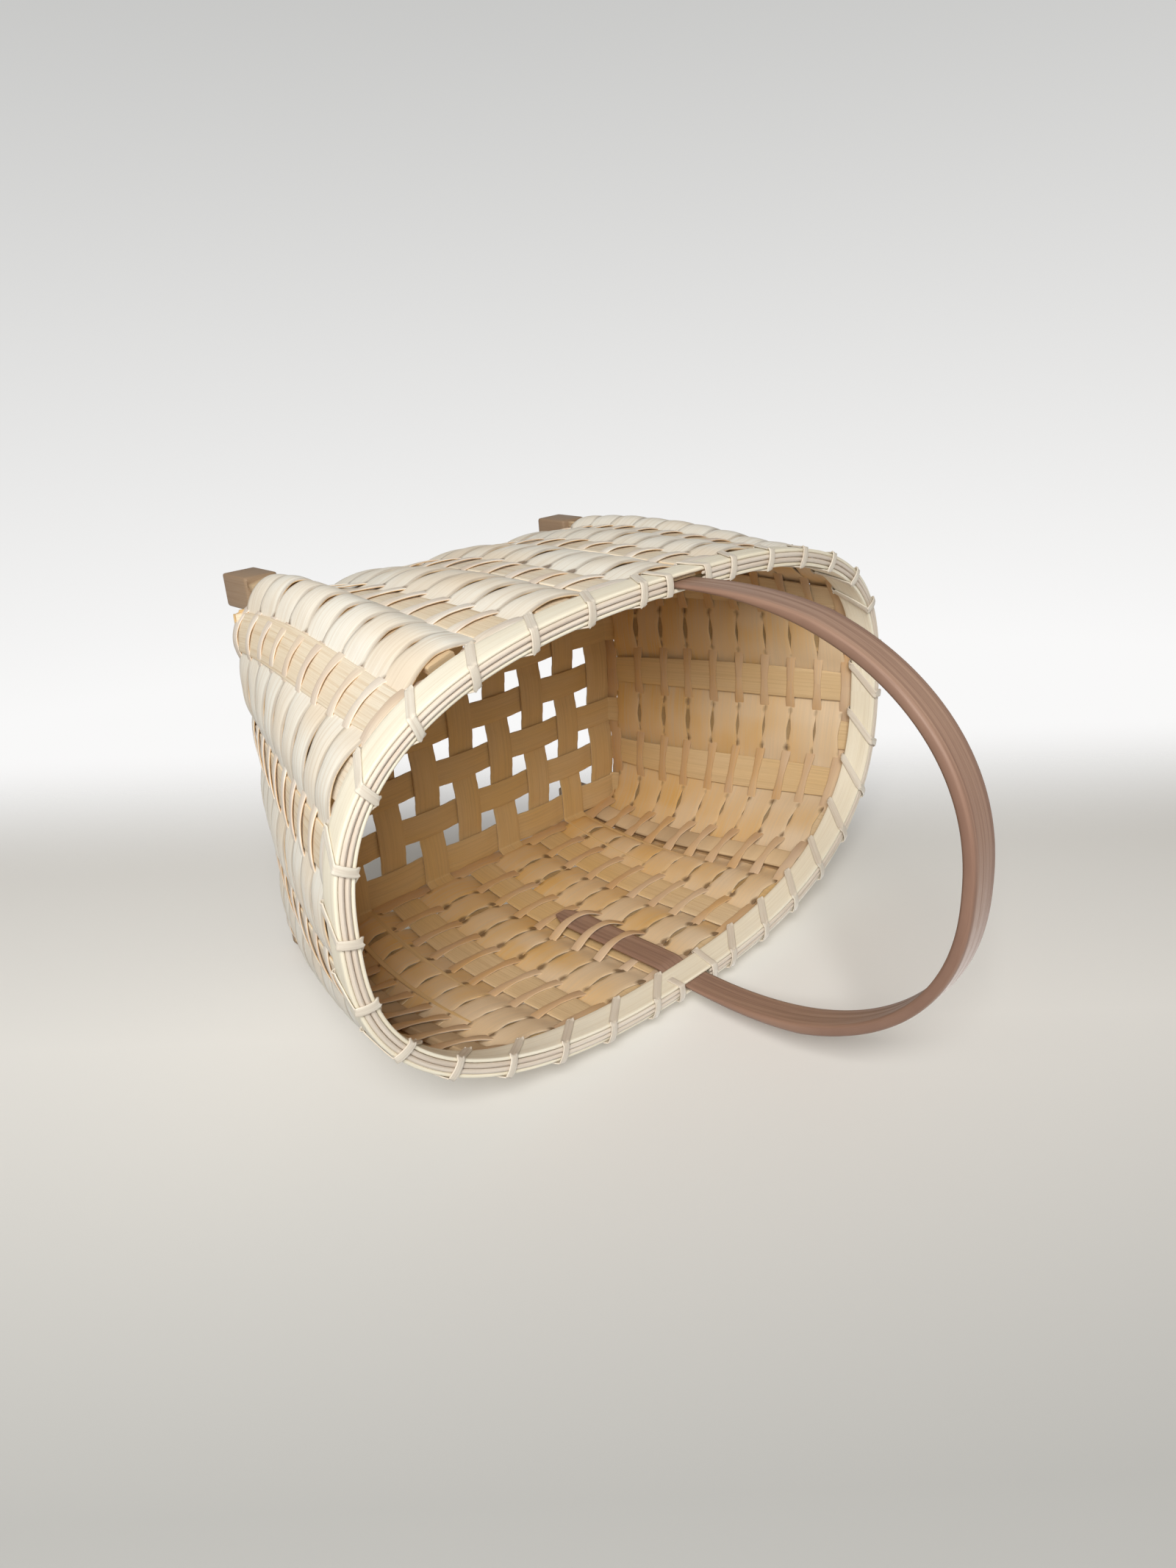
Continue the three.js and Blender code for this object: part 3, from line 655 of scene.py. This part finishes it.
def stand_offs(row, is_wide):
    """The distance at each column: outside and inside in turn, more at the legs and the tail."""
    c = np.arange(COLUMNS)
    is_out = (c % 2 == 0) == is_wide
    off = np.where(is_out, *(WIDE_OFFS if is_wide else NARROW_OFFS))
    off = np.where(np.isin(c, LEG_COLUMNS), np.where(is_out, *LEG_OFFS), off)
    if not is_wide and row in TAIL_ROWS:
        behind = TAIL_IN_WEAVE - TAIL_THICK / 2 - TAIL_CLEAR
        off = np.where(np.isin(c, HANDLE_COLUMNS), behind, off)
    return off


def swing(values, c, power=2.0):
    """From one column's value to the next by t^p / (t^p + (1 - t)^p), level at both ends."""
    low = np.floor(c).astype(int)
    t = c - low
    share = t**power / (t**power + (1 - t) ** power)
    return values[low % COLUMNS] * (1 - share) + values[(low + 1) % COLUMNS] * share


print("stand-off of a wide weaver:", stand_offs(5, True)[:6])

# %% The path of a weaver
ROWS, ROWS_START, ROWS_TO_RIM = 9, 4.85, 18.55
WANDER, UNEVEN, DIVE_REACH, BESIDE_LEG = 0.0028, 0.14, 0.5, 1.5
EDGE_DIP, DIP_RANGE = 1.3, (-0.5, 1.6)


def ring_path(v, row, is_wide):
    """Columns, stand-offs, path, up axes, normals and dives of the ring at height v.

    A dive is 1 - |distance from the middle of the gap| / reach, and more beside a leg.
    """
    c = np.arange(0, COLUMNS, 1 / WEAVER_SAMPLES) + 0.5 / WEAVER_SAMPLES
    gap = np.floor(c).astype(int)
    wander = WANDER * through(rng.standard_normal((COLUMNS // 2, 1)), c / 2)[:, 0]
    off = swing(stand_offs(row, is_wide) * (1 + UNEVEN * rng.uniform(-1, 1, COLUMNS)), c)
    dip = EDGE_DIP * np.clip(off, *DIP_RANGE) * (row == 1 and not is_wide)
    point, along, up, out = wall_frame(c, v + wander - dip / WALL_HEIGHT)
    slope = np.gradient(off, 1 / WEAVER_SAMPLES)
    step = np.linalg.norm(np.gradient(point, 1 / WEAVER_SAMPLES, axis=0), axis=1)
    normal = unit(out - (slope / step)[:, None] * along)
    dive = np.clip(1 - np.abs(c - gap - 0.5) / DIVE_REACH, 0, 1)
    at_leg = np.isin(gap, LEG_COLUMNS) | np.isin(gap + 1, LEG_COLUMNS)
    return c, off, point + off[:, None] * out, up, normal, dive * np.where(at_leg, BESIDE_LEG, 1)


print("rows of weaver:", ROWS, "wide and", ROWS + 1, "narrow")

# %% Rings of weaver
WIDE_WIDTH, WIDE_SPREAD, WIDE_THICK, WIDE_TONE = 12.9, 3.2, 1.0, (0.07, 0.11, 64)
NARROW_WIDTH, NARROW_SPREAD, NARROW_THICK, NARROW_TONE = 3.5, 1.8, 0.8, (0.12, 0.12, 40)
EDGE_WIDTH, EDGE_SHIFT, WEAVER_EDGE = 5.4, 1.1, 0.35
WIDTH_UNEVEN, WIDTH_KNOTS, FLOAT_CROWN, FLOAT_HEIGHT = 0.042, 12, 0.6, 3
# Painted shade at the dives and along the edges of the wide weavers.
DARK_RANGE, DARK_AT_END, DARK_AT_SIDE, PAINTED_SHADE_DEPTH = (0.5, 1.2), 0.45, 0.55, 1.3
EDGE_SHADE_LINE, EDGE_FROM, EDGE_OVER = 0.43, 0.5, 0.4
WIDE_GRAIN, NARROW_GRAIN, ROW_GRAIN = 80, 120, 2.3


def dive_painted_shade(c, off, across):
    """Painted shade towards the edges: 1 - |off| / depth near the wall, and outside at least a
    faint line.
    """
    gap = np.floor(c).astype(int)
    side = np.abs(np.sin(2 * np.pi * (gap + 0.5) / COLUMNS))
    dark = rng.uniform(*DARK_RANGE, COLUMNS)[gap] * (DARK_AT_END + DARK_AT_SIDE * side)
    dark *= 1 - np.clip(np.abs(off) / PAINTED_SHADE_DEPTH, 0, 1)
    edge = np.clip((across - EDGE_FROM) / EDGE_OVER, 0, 1)
    return np.maximum(dark[:, None], EDGE_SHADE_LINE * (1 - BACK_OF_FINE)) * edge


def add_wide_weaver(name, v, row):
    """A wide splint of uneven width, with a crown that grows as off / height on its floats."""
    c, off, path, up, normal, dive = ring_path(v, row, True)
    uneven = through(rng.standard_normal((WIDTH_KNOTS, 1)), c * WIDTH_KNOTS / COLUMNS)[:, 0]
    width = WIDE_WIDTH * (1 + WIDTH_UNEVEN * uneven) + WIDE_SPREAD * dive
    crown = FLOAT_CROWN * np.clip(off / FLOAT_HEIGHT, 0, 1)
    grid, a = carry(path, up, normal, width, WIDE_THICK, WEAVER_EDGE, crown=crown)
    tone = with_inside_shade(drifting_tone(len(c), *WIDE_TONE), BACK_OF_FINE, path)
    # Painted shade at the dives and along the edges of this weaver.
    painted_shade = dive_painted_shade(c, off, 2 * np.abs(a) / width[:, None])
    strip_piece(name + "_splint", name, WEAVER_WOOD, grid, path, a, tone, True,
                WIDE_GRAIN + ROW_GRAIN * row, painted_shade)


def add_narrow_weaver(name, v, row):
    """A narrow splint, wider in the first and the last row."""
    c, _, path, up, normal, dive = ring_path(v, row, False)
    width = (EDGE_WIDTH if row in (1, ROWS + 1) else NARROW_WIDTH) + NARROW_SPREAD * dive
    grid, a = carry(path, up, normal, width, NARROW_THICK, WEAVER_EDGE, outline=THIN)
    tone = with_inside_shade(drifting_tone(len(c), *NARROW_TONE), BACK_OF_THIN, path)
    strip_piece(name + "_splint", name, NARROW_WOOD, grid, path, a, tone, True,
                NARROW_GRAIN + ROW_GRAIN * row)


pair = (WALL_HEIGHT - ROWS_START - ROWS_TO_RIM) / ROWS
for row in range(1, ROWS + 2):
    middle = ROWS_START + (row - 1) * pair
    shift = EDGE_SHIFT * ((row == ROWS + 1) - (row == 1))
    add_narrow_weaver(f"narrow_weaver_{row}", (middle + shift) / WALL_HEIGHT, row)
    if row <= ROWS:
        add_wide_weaver(f"wide_weaver_{row}", (middle + pair / 2) / WALL_HEIGHT, row)
print("from one row to the next:", round(pair, 2), "mm")

# %% [markdown]
# ## The rim
#
# Two flat hoops hold the tops of the uprights between them, and two round reeds fill the gap on
# top. Each is a ring at the rim's own height, moved in or out along the wall's normal. That keeps
# them parallel all round, which a ring that is only scaled would not be.

# %% Hoops and reeds
HOOP_HEIGHT, HOOP_THICK, HOOP_EDGE = 13.0, 1.6, 0.65
OUTER_HOOP_FACE, INNER_HOOP_FACE = 1.3, -3.1
REED_RADIUS, REED_LEVEL, REED_STOP = 1.05, -0.35, 0.36
REED_ROWS, REED_TIP = 150, np.array([0.55, 0.9, 1.0])
REED_PLACES = {"outer": 0.2, "inner": -2.0}
HOOP_SAMPLES, HOOP_CROWN, HOOP_TONE, REED_TONE = 10, 0.15, (0.2, 0.12, 12), (0.35, 0.15, 9)
OUTER_GRAIN, INNER_GRAIN, REED_GRAIN = 160.0, 163.0, 166.0
HALVES = {"left": QUARTER, "right": 3 * QUARTER}


def rim_place(c, out_by, level):
    """A point beside the rim, by its distance out from the wall and up from the rim's edge."""
    point, _, up, out = wall_frame(c, np.ones_like(c))
    place = point + np.asarray(out_by)[..., None] * out + np.asarray(level)[..., None] * up
    return place, up, out


def add_hoop(name, middle, seed):
    """A closed band, as tall as the hoop, round the wall at one distance from it."""
    c = np.arange(0, COLUMNS, 1 / HOOP_SAMPLES)
    path, up, out = rim_place(c, middle, -HOOP_HEIGHT / 2)
    grid, a = carry(path, up, out, HOOP_HEIGHT, HOOP_THICK, HOOP_EDGE, crown=HOOP_CROWN)
    tone = drifting_tone(len(c), *HOOP_TONE)
    strip_piece(name + "_band", name, HOOP_WOOD, grid, path, a, tone, True, seed)


def add_reed(name, start, out_by, seed):
    """A round reed from one side of the handle to the other, with its ends rounded off."""
    c = np.linspace(start + REED_STOP, start + 2 * QUARTER - REED_STOP, REED_ROWS)
    path, up, out = rim_place(c, out_by, REED_LEVEL)
    from_end = np.minimum(np.arange(REED_ROWS), np.arange(REED_ROWS)[::-1])
    size = 2 * REED_RADIUS * REED_TIP[np.minimum(from_end, len(REED_TIP) - 1)]
    grid, a = carry(path, up, out, size, size, REED_RADIUS, outline=THIN)
    tone = drifting_tone(REED_ROWS, *REED_TONE)
    strip_piece(name + "_round", name, REED_WOOD, grid, path, a, tone, start=seed)


add_hoop("rim_outer_hoop", OUTER_HOOP_FACE + HOOP_THICK / 2, OUTER_GRAIN)
add_hoop("rim_inner_hoop", INNER_HOOP_FACE - HOOP_THICK / 2, INNER_GRAIN)
for side, start in HALVES.items():
    for ring, out_by in REED_PLACES.items():
        add_reed(f"rim_filler_{ring}_{side}", start, out_by, REED_GRAIN + start + out_by)
print("reeds:", len(HALVES) * len(REED_PLACES))

# %% [markdown]
# The lashing is one flat strip on each half of the rim. Each turn climbs the outer hoop at a
# slant, crosses the reeds above an upright, and slants on down the inner hoop to the next gap
# between two uprights. The first and the last turn stand almost square beside the handle. A turn
# is a loop round the rim's block, and a second table says at which column each point of it is.

# %% Lashing
LASH_WIDTH, LASH_THICK, LASH_EDGE, LASH_CROWN = 3.7, 0.6, 0.3, 0.12
LASH_TONE, LASH_GRAIN = (0.3, 0.2, 20), 190.0
LASH_OUT, LASH_IN = 3.4, -5.2
LASH_TURN = np.array([
    [LASH_OUT - 0.9, -14.0], [LASH_OUT, -12.9], [LASH_OUT, -6.5], [LASH_OUT, -0.1],
    [LASH_OUT - 0.9, 1.1], [-0.9, 1.6], [LASH_IN + 0.9, 1.1], [LASH_IN, -0.1],
    [LASH_IN, -6.5], [LASH_IN, -12.9], [LASH_IN + 0.9, -14.0],
])
FIRST_TURN = np.array([0.365, 0.38, 0.4, 0.42, 0.425, 0.43, 0.435, 0.44, 0.49, 0.545, 0.56])
SLANT_TURN = np.array([0.595, 0.61, 0.765, 0.92, 0.94, 0.965, 0.99, 1.0, 1.27, 1.545, 1.56])
LAST_TURN = np.array([0.585, 0.585, 0.583, 0.58, 0.58, 0.58, 0.58, 0.58, 0.58])
SLANT_TURNS = 2 * QUARTER - 1
LASH_SAMPLES = 5
RIM_BLOCK = (INNER_HOOP_FACE - HOOP_THICK, OUTER_HOOP_FACE + HOOP_THICK)


def lash_keys(start):
    """All turns of one lashing as rows of (out, level, column)."""
    slants = np.arange(SLANT_TURNS)[:, None] + SLANT_TURN
    places = np.concatenate([FIRST_TURN, slants.ravel(), SLANT_TURNS + LAST_TURN])
    points = np.tile(LASH_TURN, (SLANT_TURNS + 2, 1))[:len(places)]
    return np.column_stack([points, start + places])


def add_lashing(name, start, seed):
    """A flat strip along the turns, with its flat side to the nearest point of the rim's block."""
    keys = lash_keys(start)
    at = np.linspace(0, len(keys) - 1, (len(keys) - 1) * LASH_SAMPLES + 1)
    padded = np.concatenate([keys, keys[-1:] * 2 - keys[-2:-1], keys[:1] * 2 - keys[1:2]])
    out_by, level, c = through(padded, at).T
    path = rim_place(c, out_by, level)[0]
    core = rim_place(c, np.clip(out_by, *RIM_BLOCK), np.clip(level, -HOOP_HEIGHT, 0))[0]
    ahead = unit(np.gradient(path, axis=0))
    off = path - core
    off = unit(off - np.sum(off * ahead, axis=1, keepdims=True) * ahead)
    grid, a = carry(path, np.cross(off, ahead), off, LASH_WIDTH, LASH_THICK, LASH_EDGE,
                    crown=LASH_CROWN)
    tone = drifting_tone(len(path), *LASH_TONE)
    strip_piece(name + "_strip", name, LASH_BARK, grid, path, a, tone, start=seed)
    length = np.linalg.norm(np.diff(path, axis=0), axis=1).sum()
    print(name, "length:", round(length), "mm")


for side, start in HALVES.items():
    add_lashing(f"rim_lashing_{side}", start, LASH_GRAIN + start)

# %% [markdown]
# ## The handle
#
# The handle is one flat piece of wood, bent over a form. Its two tails go down inside the wall
# and under three narrow weavers. The arch is half a superellipse, a little squarer than a circle.
# One half is worked out, and the other is its mirror image.

# %% Handle
HANDLE_RISE, HANDLE_HALF_SPAN, HANDLE_POWER = 130.0, 95.5, 2.26
HANDLE_WIDTH, HANDLE_THICK, HANDLE_EDGE, HANDLE_CROWN = 16.0, 5.0, 1.3, 0.1
TAIL_WIDTH, TAIL_STEP, EASE_RATE = 15.0, 4.5, 3.5
TIP_LENGTH, TIP_NARROWING, TIP_THINNING = 14.0, 0.55, 0.4
HANDLE_TONE, EDGE_TONE, EDGE_POWER, HANDLE_GRAIN = (0.4, 0.2, 9), 0.3, 4, 230.0


def handle_half(tail_rows=50, arch_rows=90):
    """The tail along the wall, then y = b cos^(2/p), z = h sin^(2/p) up to the top of the arch."""
    depth = np.linspace(TAIL_LENGTH, 0, tail_rows)
    v = 1 - depth / wall_length(QUARTER)
    point, _, _, out = wall_frame(np.full(tail_rows, float(QUARTER)), v)
    steps = [HOOP_HEIGHT, HOOP_HEIGHT + TAIL_STEP]
    place = np.interp(depth, steps, [TAIL_AT_RIM, TAIL_IN_WEAVE])
    tail = point + place[:, None] * out
    angle = np.linspace(0, np.pi / 2, arch_rows + 1)[1:]
    ease = np.clip(angle / (np.pi / 2) * EASE_RATE, 0, 1)
    cos = np.clip(np.cos(angle), 0, 1) ** (2 / HANDLE_POWER)
    y = cos * (tail[-1, 1] + (HANDLE_HALF_SPAN - tail[-1, 1]) * ease)
    z = tail[-1, 2] + HANDLE_RISE * np.sin(angle) ** (2 / HANDLE_POWER)
    arch = np.stack([np.zeros_like(y), y, z], axis=1)
    ease = np.concatenate([np.zeros(tail_rows), ease])
    return np.concatenate([tail, arch]), ease


half_path, half_ease = handle_half()
mirrored = half_path[:-1][::-1] * np.array([1, -1, 1])
handle_path = np.concatenate([half_path, mirrored])
ease = np.concatenate([half_ease, half_ease[:-1][::-1]])
ahead = unit(np.gradient(handle_path, axis=0))
across = np.tile([1.0, 0, 0], (len(handle_path), 1))
run = np.concatenate([[0], np.cumsum(np.linalg.norm(np.diff(handle_path, axis=0), axis=1))])
from_end = np.minimum(run, run[-1] - run)
tip = 1 - np.clip(from_end / TIP_LENGTH, 0, 1)
width = (TAIL_WIDTH + (HANDLE_WIDTH - TAIL_WIDTH) * ease) * (1 - TIP_NARROWING * tip**2)
thick = (TAIL_THICK + (HANDLE_THICK - TAIL_THICK) * ease) * (1 - TIP_THINNING * tip**2)
grid, a = carry(handle_path, across, np.cross(ahead, across), width, thick, HANDLE_EDGE,
                crown=HANDLE_CROWN)
edge = (2 * np.abs(a) / width[:, None]) ** EDGE_POWER
tone = drifting_tone(len(handle_path), *HANDLE_TONE)[:, None] + EDGE_TONE * edge
strip_piece("handle_bent_wood", "handle", HANDLE_WOOD, grid, handle_path, a, tone,
            start=HANDLE_GRAIN)
print("handle top:", round(handle_path[:, 2].max(), 1), "mm")

# %% [markdown]
# ## Legs
#
# A leg is one piece of wood: a block below the basket, and above its shoulder a flat upright
# that is woven into the corner. Two boxes could be joined for it, but one outline that changes
# from the block's to the upright's gives a single closed skin. The faces of the upright that turn
# towards the long side carry painted shade, for the dark gaps there.

# %% Legs
FOOT_X, FOOT_Y, LEG_WIDTH, LEG_THICK = 16.0, 15.0, 12.0, 4.0
FOOT_INSET_X, FOOT_INSET_Y, SHOULDER, LEG_TO_RIM = 0.5, 3.5, 2.2, 17.0
FOOT_TOP = BASE_Z - SHOULDER
FOOT_LEVELS = np.array([0, 0.25, 0.9, 1.8, 4, 8, 12, 16, 20, FOOT_TOP - 0.9, FOOT_TOP - 0.2])
FOOT_TRIM = np.array([2.6, 1.4, 0.5, 0.1, 0, 0, 0, 0, 0, 0.2, 1.6])
UPRIGHT_FOOT, UPRIGHT_START, UPRIGHT_ROWS, LEG_EDGE = 0.1, 0.015, 30, 0.9
FOOT_DARK, UPRIGHT_DARK, LEG_TONE, LEG_PAINTED_SHADE = 0.85, 0.02, (0.1, 0.1, 5), 0.6
LEG_GRAIN, LEG_GRAIN_STEP = 250.0, 2.7


def add_leg(name, c, seed):
    """Rounded rectangles from the foot's end face up to the shoulder, then along the wall."""
    x, y = BASE[c]
    side_x, side_y = np.sign(x), np.sign(y)
    foot = np.array([side_x * (abs(x) - FOOT_INSET_X), side_y * (abs(y) - FOOT_INSET_Y), 0])
    v = np.linspace(UPRIGHT_START, 1 - LEG_TO_RIM / wall_length(c), UPRIGHT_ROWS)
    point, along, _, out = wall_frame(np.full(UPRIGHT_ROWS, float(c)), v)
    lower = point[:1] * np.array([1, 1, 0]) + np.array([0, 0, FOOT_TOP + UPRIGHT_FOOT])
    path = np.concatenate([foot + np.outer(FOOT_LEVELS, [0, 0, 1.0]), lower, point])
    foot_across, foot_normal = np.array([0, side_y, 0]), np.array([-side_y, 0, 0])
    across = np.concatenate([np.tile(foot_across, (len(FOOT_LEVELS), 1)), out[:1], out])
    normal = np.concatenate([np.tile(foot_normal, (len(FOOT_LEVELS), 1)), along[:1], along])
    wide = np.concatenate([FOOT_Y - FOOT_TRIM, np.full(UPRIGHT_ROWS + 1, LEG_THICK)])
    thick = np.concatenate([FOOT_X - FOOT_TRIM, np.full(UPRIGHT_ROWS + 1, LEG_WIDTH)])
    grid, a = carry(path, across, normal, wide, thick, LEG_EDGE)
    tone = np.where(path[:, 2] < BASE_Z, FOOT_DARK, UPRIGHT_DARK)
    tone = tone + drifting_tone(len(path), *LEG_TONE) - LEG_TONE[0]
    # Painted shade on the upright's faces towards the long side, above the bottom.
    towards_side = side_x * side_y * (FINE[1][:, 1] * (FINE[1][:, 0] == 0))
    painted_shade = np.outer(path[:, 2] > BASE_Z, np.clip(towards_side, 0, 1)) * LEG_PAINTED_SHADE
    strip_piece(name + "_wood", name, LEG_WOOD, grid, path, a, tone, start=seed,
                painted_shade=painted_shade)


for k, c in enumerate(LEG_COLUMNS):
    add_leg(f"leg_{k + 1}", c, LEG_GRAIN + LEG_GRAIN_STEP * k)
print("legs:", len(LEG_COLUMNS))

# %% [markdown]
# ## Floor, light and background
#
# In the photograph the basket lies on the long side that faces -Y, so the floor is a plane that
# touches that side. It is see-through from behind, so that the other views look past it, and it
# fades out behind the basket into the pale background, as paper does that sweeps up. Only the
# camera sees it, so that it sends no light back into the basket.

# %% Floor that touches the lying side
LYING_TILT = np.array([0, 0.9991, 0.0424])
FLOOR_SIZE = 3.0
FADE_ALONG = (0.686, 0.0, -0.727)


def lowest_along(direction):
    """The least reach of all pieces along a direction, from their vertices."""
    reach = []
    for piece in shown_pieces():
        points = np.empty(len(piece.data.vertices) * 3, dtype=np.float32)
        piece.data.vertices.foreach_get("co", points)
        reach.append((points.reshape(-1, 3) @ direction).min())
    return min(reach)


level = lowest_along(LYING_TILT)
middle = LYING_TILT * level
side_a = np.array([1.0, 0, 0])
side_b = np.cross(LYING_TILT, side_a)
spread = np.array([[-1, -1], [-1, 1], [1, 1], [1, -1]]) * FLOOR_SIZE
corners = middle + spread[:, :1] * side_a + spread[:, 1:] * side_b
floor_mesh = bpy.data.meshes.new("floor")
floor_mesh.from_pydata(corners.tolist(), [], [[0, 1, 2, 3]])
if np.dot(np.array(floor_mesh.polygons[0].normal), LYING_TILT) < 0:
    floor_mesh.flip_normals()
floor = bpy.data.objects.new("floor", floor_mesh)
bpy.context.scene.collection.objects.link(floor)
print("floor level:", round(level, 4))

# %% Floor material
# Painted light on the floor: painted shade towards the camera, and painted warm bounce light near
# the basket.
FLOOR_FAR_LIT, FLOOR_NEAR_SHADED = (0.85, 0.835, 0.80, 1), (0.48, 0.48, 0.465, 1)
SHADE_FROM, SHADE_TO, FADE_FROM, FADE_TO = -0.36, -0.15, 0.0, 0.2


def maths(tree, operation, first, second):
    """A difference or a maximum of two numbers, each a socket or a plain value."""
    return new_node(tree, "Math", {0: first, 1: second}, operation=operation).outputs["Value"]


def shown(tree, factor, first, second, output):
    """The output's surface: the first shader at factor 0 and the second at factor 1."""
    mix = new_node(tree, "MixShader", {0: factor, 1: first, 2: second})
    tree.links.new(mix.outputs["Shader"], tree.nodes[output].inputs["Surface"])


floor_material = bpy.data.materials.new("pale_floor")
floor_material.use_nodes = True
tree = floor_material.node_tree
tree.nodes.remove(tree.nodes["Principled BSDF"])
place = new_node(tree, "TexCoord").outputs["Object"]
away = new_node(tree, "VectorMath", {0: place, 1: FADE_ALONG}, operation="DOT_PRODUCT")
shade = ranged(tree, away.outputs["Value"], 0.0, 1.0, SHADE_FROM, SHADE_TO)
fade = ranged(tree, away.outputs["Value"], 0.0, 1.0, FADE_FROM, FADE_TO, "SMOOTHSTEP")
matt = new_node(tree, "BsdfDiffuse", {"Color": mixed(tree, shade, FLOOR_NEAR_SHADED, FLOOR_FAR_LIT)})
clear = new_node(tree, "BsdfTransparent")
behind = new_node(tree, "NewGeometry").outputs["Backfacing"]
camera_ray = new_node(tree, "LightPath").outputs["Is Camera Ray"]
unseen = maths(tree, "SUBTRACT", 1.0, camera_ray)
gone = maths(tree, "MAXIMUM", maths(tree, "MAXIMUM", behind, fade), unseen)
shown(tree, gone, matt.outputs["BSDF"], clear.outputs["BSDF"], "Material Output")
floor_mesh.materials.append(floor_material)
print("floor material:", floor_material.name)

# %% [markdown]
# The main lamp stands to the upper left of the photograph and shines into the mouth, and a weaker
# one beside it lights the near end. A third lamp fills the sides that the photograph doesn't
# show. The world gives the rest as even light. What the camera sees of the world is a pale
# backdrop that is brighter low down.

# %% Lamps
LAMP_ROLL_AXIS = (0.3, 0.2, 0.93)


def soft_lamp(name, place, aim, size, power, colour):
    """A square area lamp at a place, turned so that it shines at a point."""
    data = bpy.data.lights.new(name, "AREA")
    data.size = size
    data.energy = power
    data.color = colour
    lamp = bpy.data.objects.new(name, data)
    bpy.context.scene.collection.objects.link(lamp)
    back = unit(np.array(place) - np.array(aim))
    side = unit(np.cross(LAMP_ROLL_AXIS, back))
    turn = Matrix((side, np.cross(back, side), back)).transposed()
    lamp.matrix_world = Matrix.Translation(place) @ turn.to_4x4()


soft_lamp("window_lamp", place=(-1.25, 0.45, 0.35), aim=(0, 0, 0.12), size=1.0, power=3.9,
          colour=(1.0, 0.995, 0.975))
soft_lamp("mouth_lamp", place=(-0.82, 0.8, 0.92), aim=(0, 0, 0.1), size=0.6, power=18.5,
          colour=(1.0, 0.98, 0.95))
soft_lamp("fill_lamp", place=(0.85, -1.15, 0.45), aim=(0, 0, 0.12), size=1.2, power=9.0,
          colour=(1.0, 0.99, 0.97))
print("lamps:", [lamp.name for lamp in bpy.data.lights])

# %% World
EVEN_COLOUR, EVEN_STRENGTH = (1.0, 0.99, 0.97, 1), 0.22
BACKDROP_LOW, BACKDROP_HIGH = (0.95, 0.945, 0.94, 1), (0.57, 0.57, 0.56, 1)
BACKDROP_FROM, BACKDROP_TO = -0.27, 0.25

world = bpy.data.worlds.new("pale_room")
bpy.context.scene.world = world
world.use_nodes = True
tree = world.node_tree
even = tree.nodes["Background"]
even.inputs["Color"].default_value = EVEN_COLOUR
even.inputs["Strength"].default_value = EVEN_STRENGTH
place = new_node(tree, "TexCoord").outputs["Generated"]
split = new_node(tree, "SeparateXYZ", {"Vector": place})
height = ranged(tree, split.outputs["Y"], 0.0, 1.0, BACKDROP_FROM, BACKDROP_TO)
backdrop = mixed(tree, height, BACKDROP_LOW, BACKDROP_HIGH)
seen = new_node(tree, "Background", {"Color": backdrop})
rays = new_node(tree, "LightPath").outputs
clear_rays = maths(tree, "MAXIMUM", rays["Is Camera Ray"], rays["Is Transmission Ray"])
sharp_rays = maths(tree, "MAXIMUM", clear_rays, rays["Is Glossy Ray"])
shown(tree, sharp_rays, even.outputs["Background"], seen.outputs["Background"], "World Output")
bpy.context.scene.view_settings.view_transform = "Standard"
print("world:", world.name)
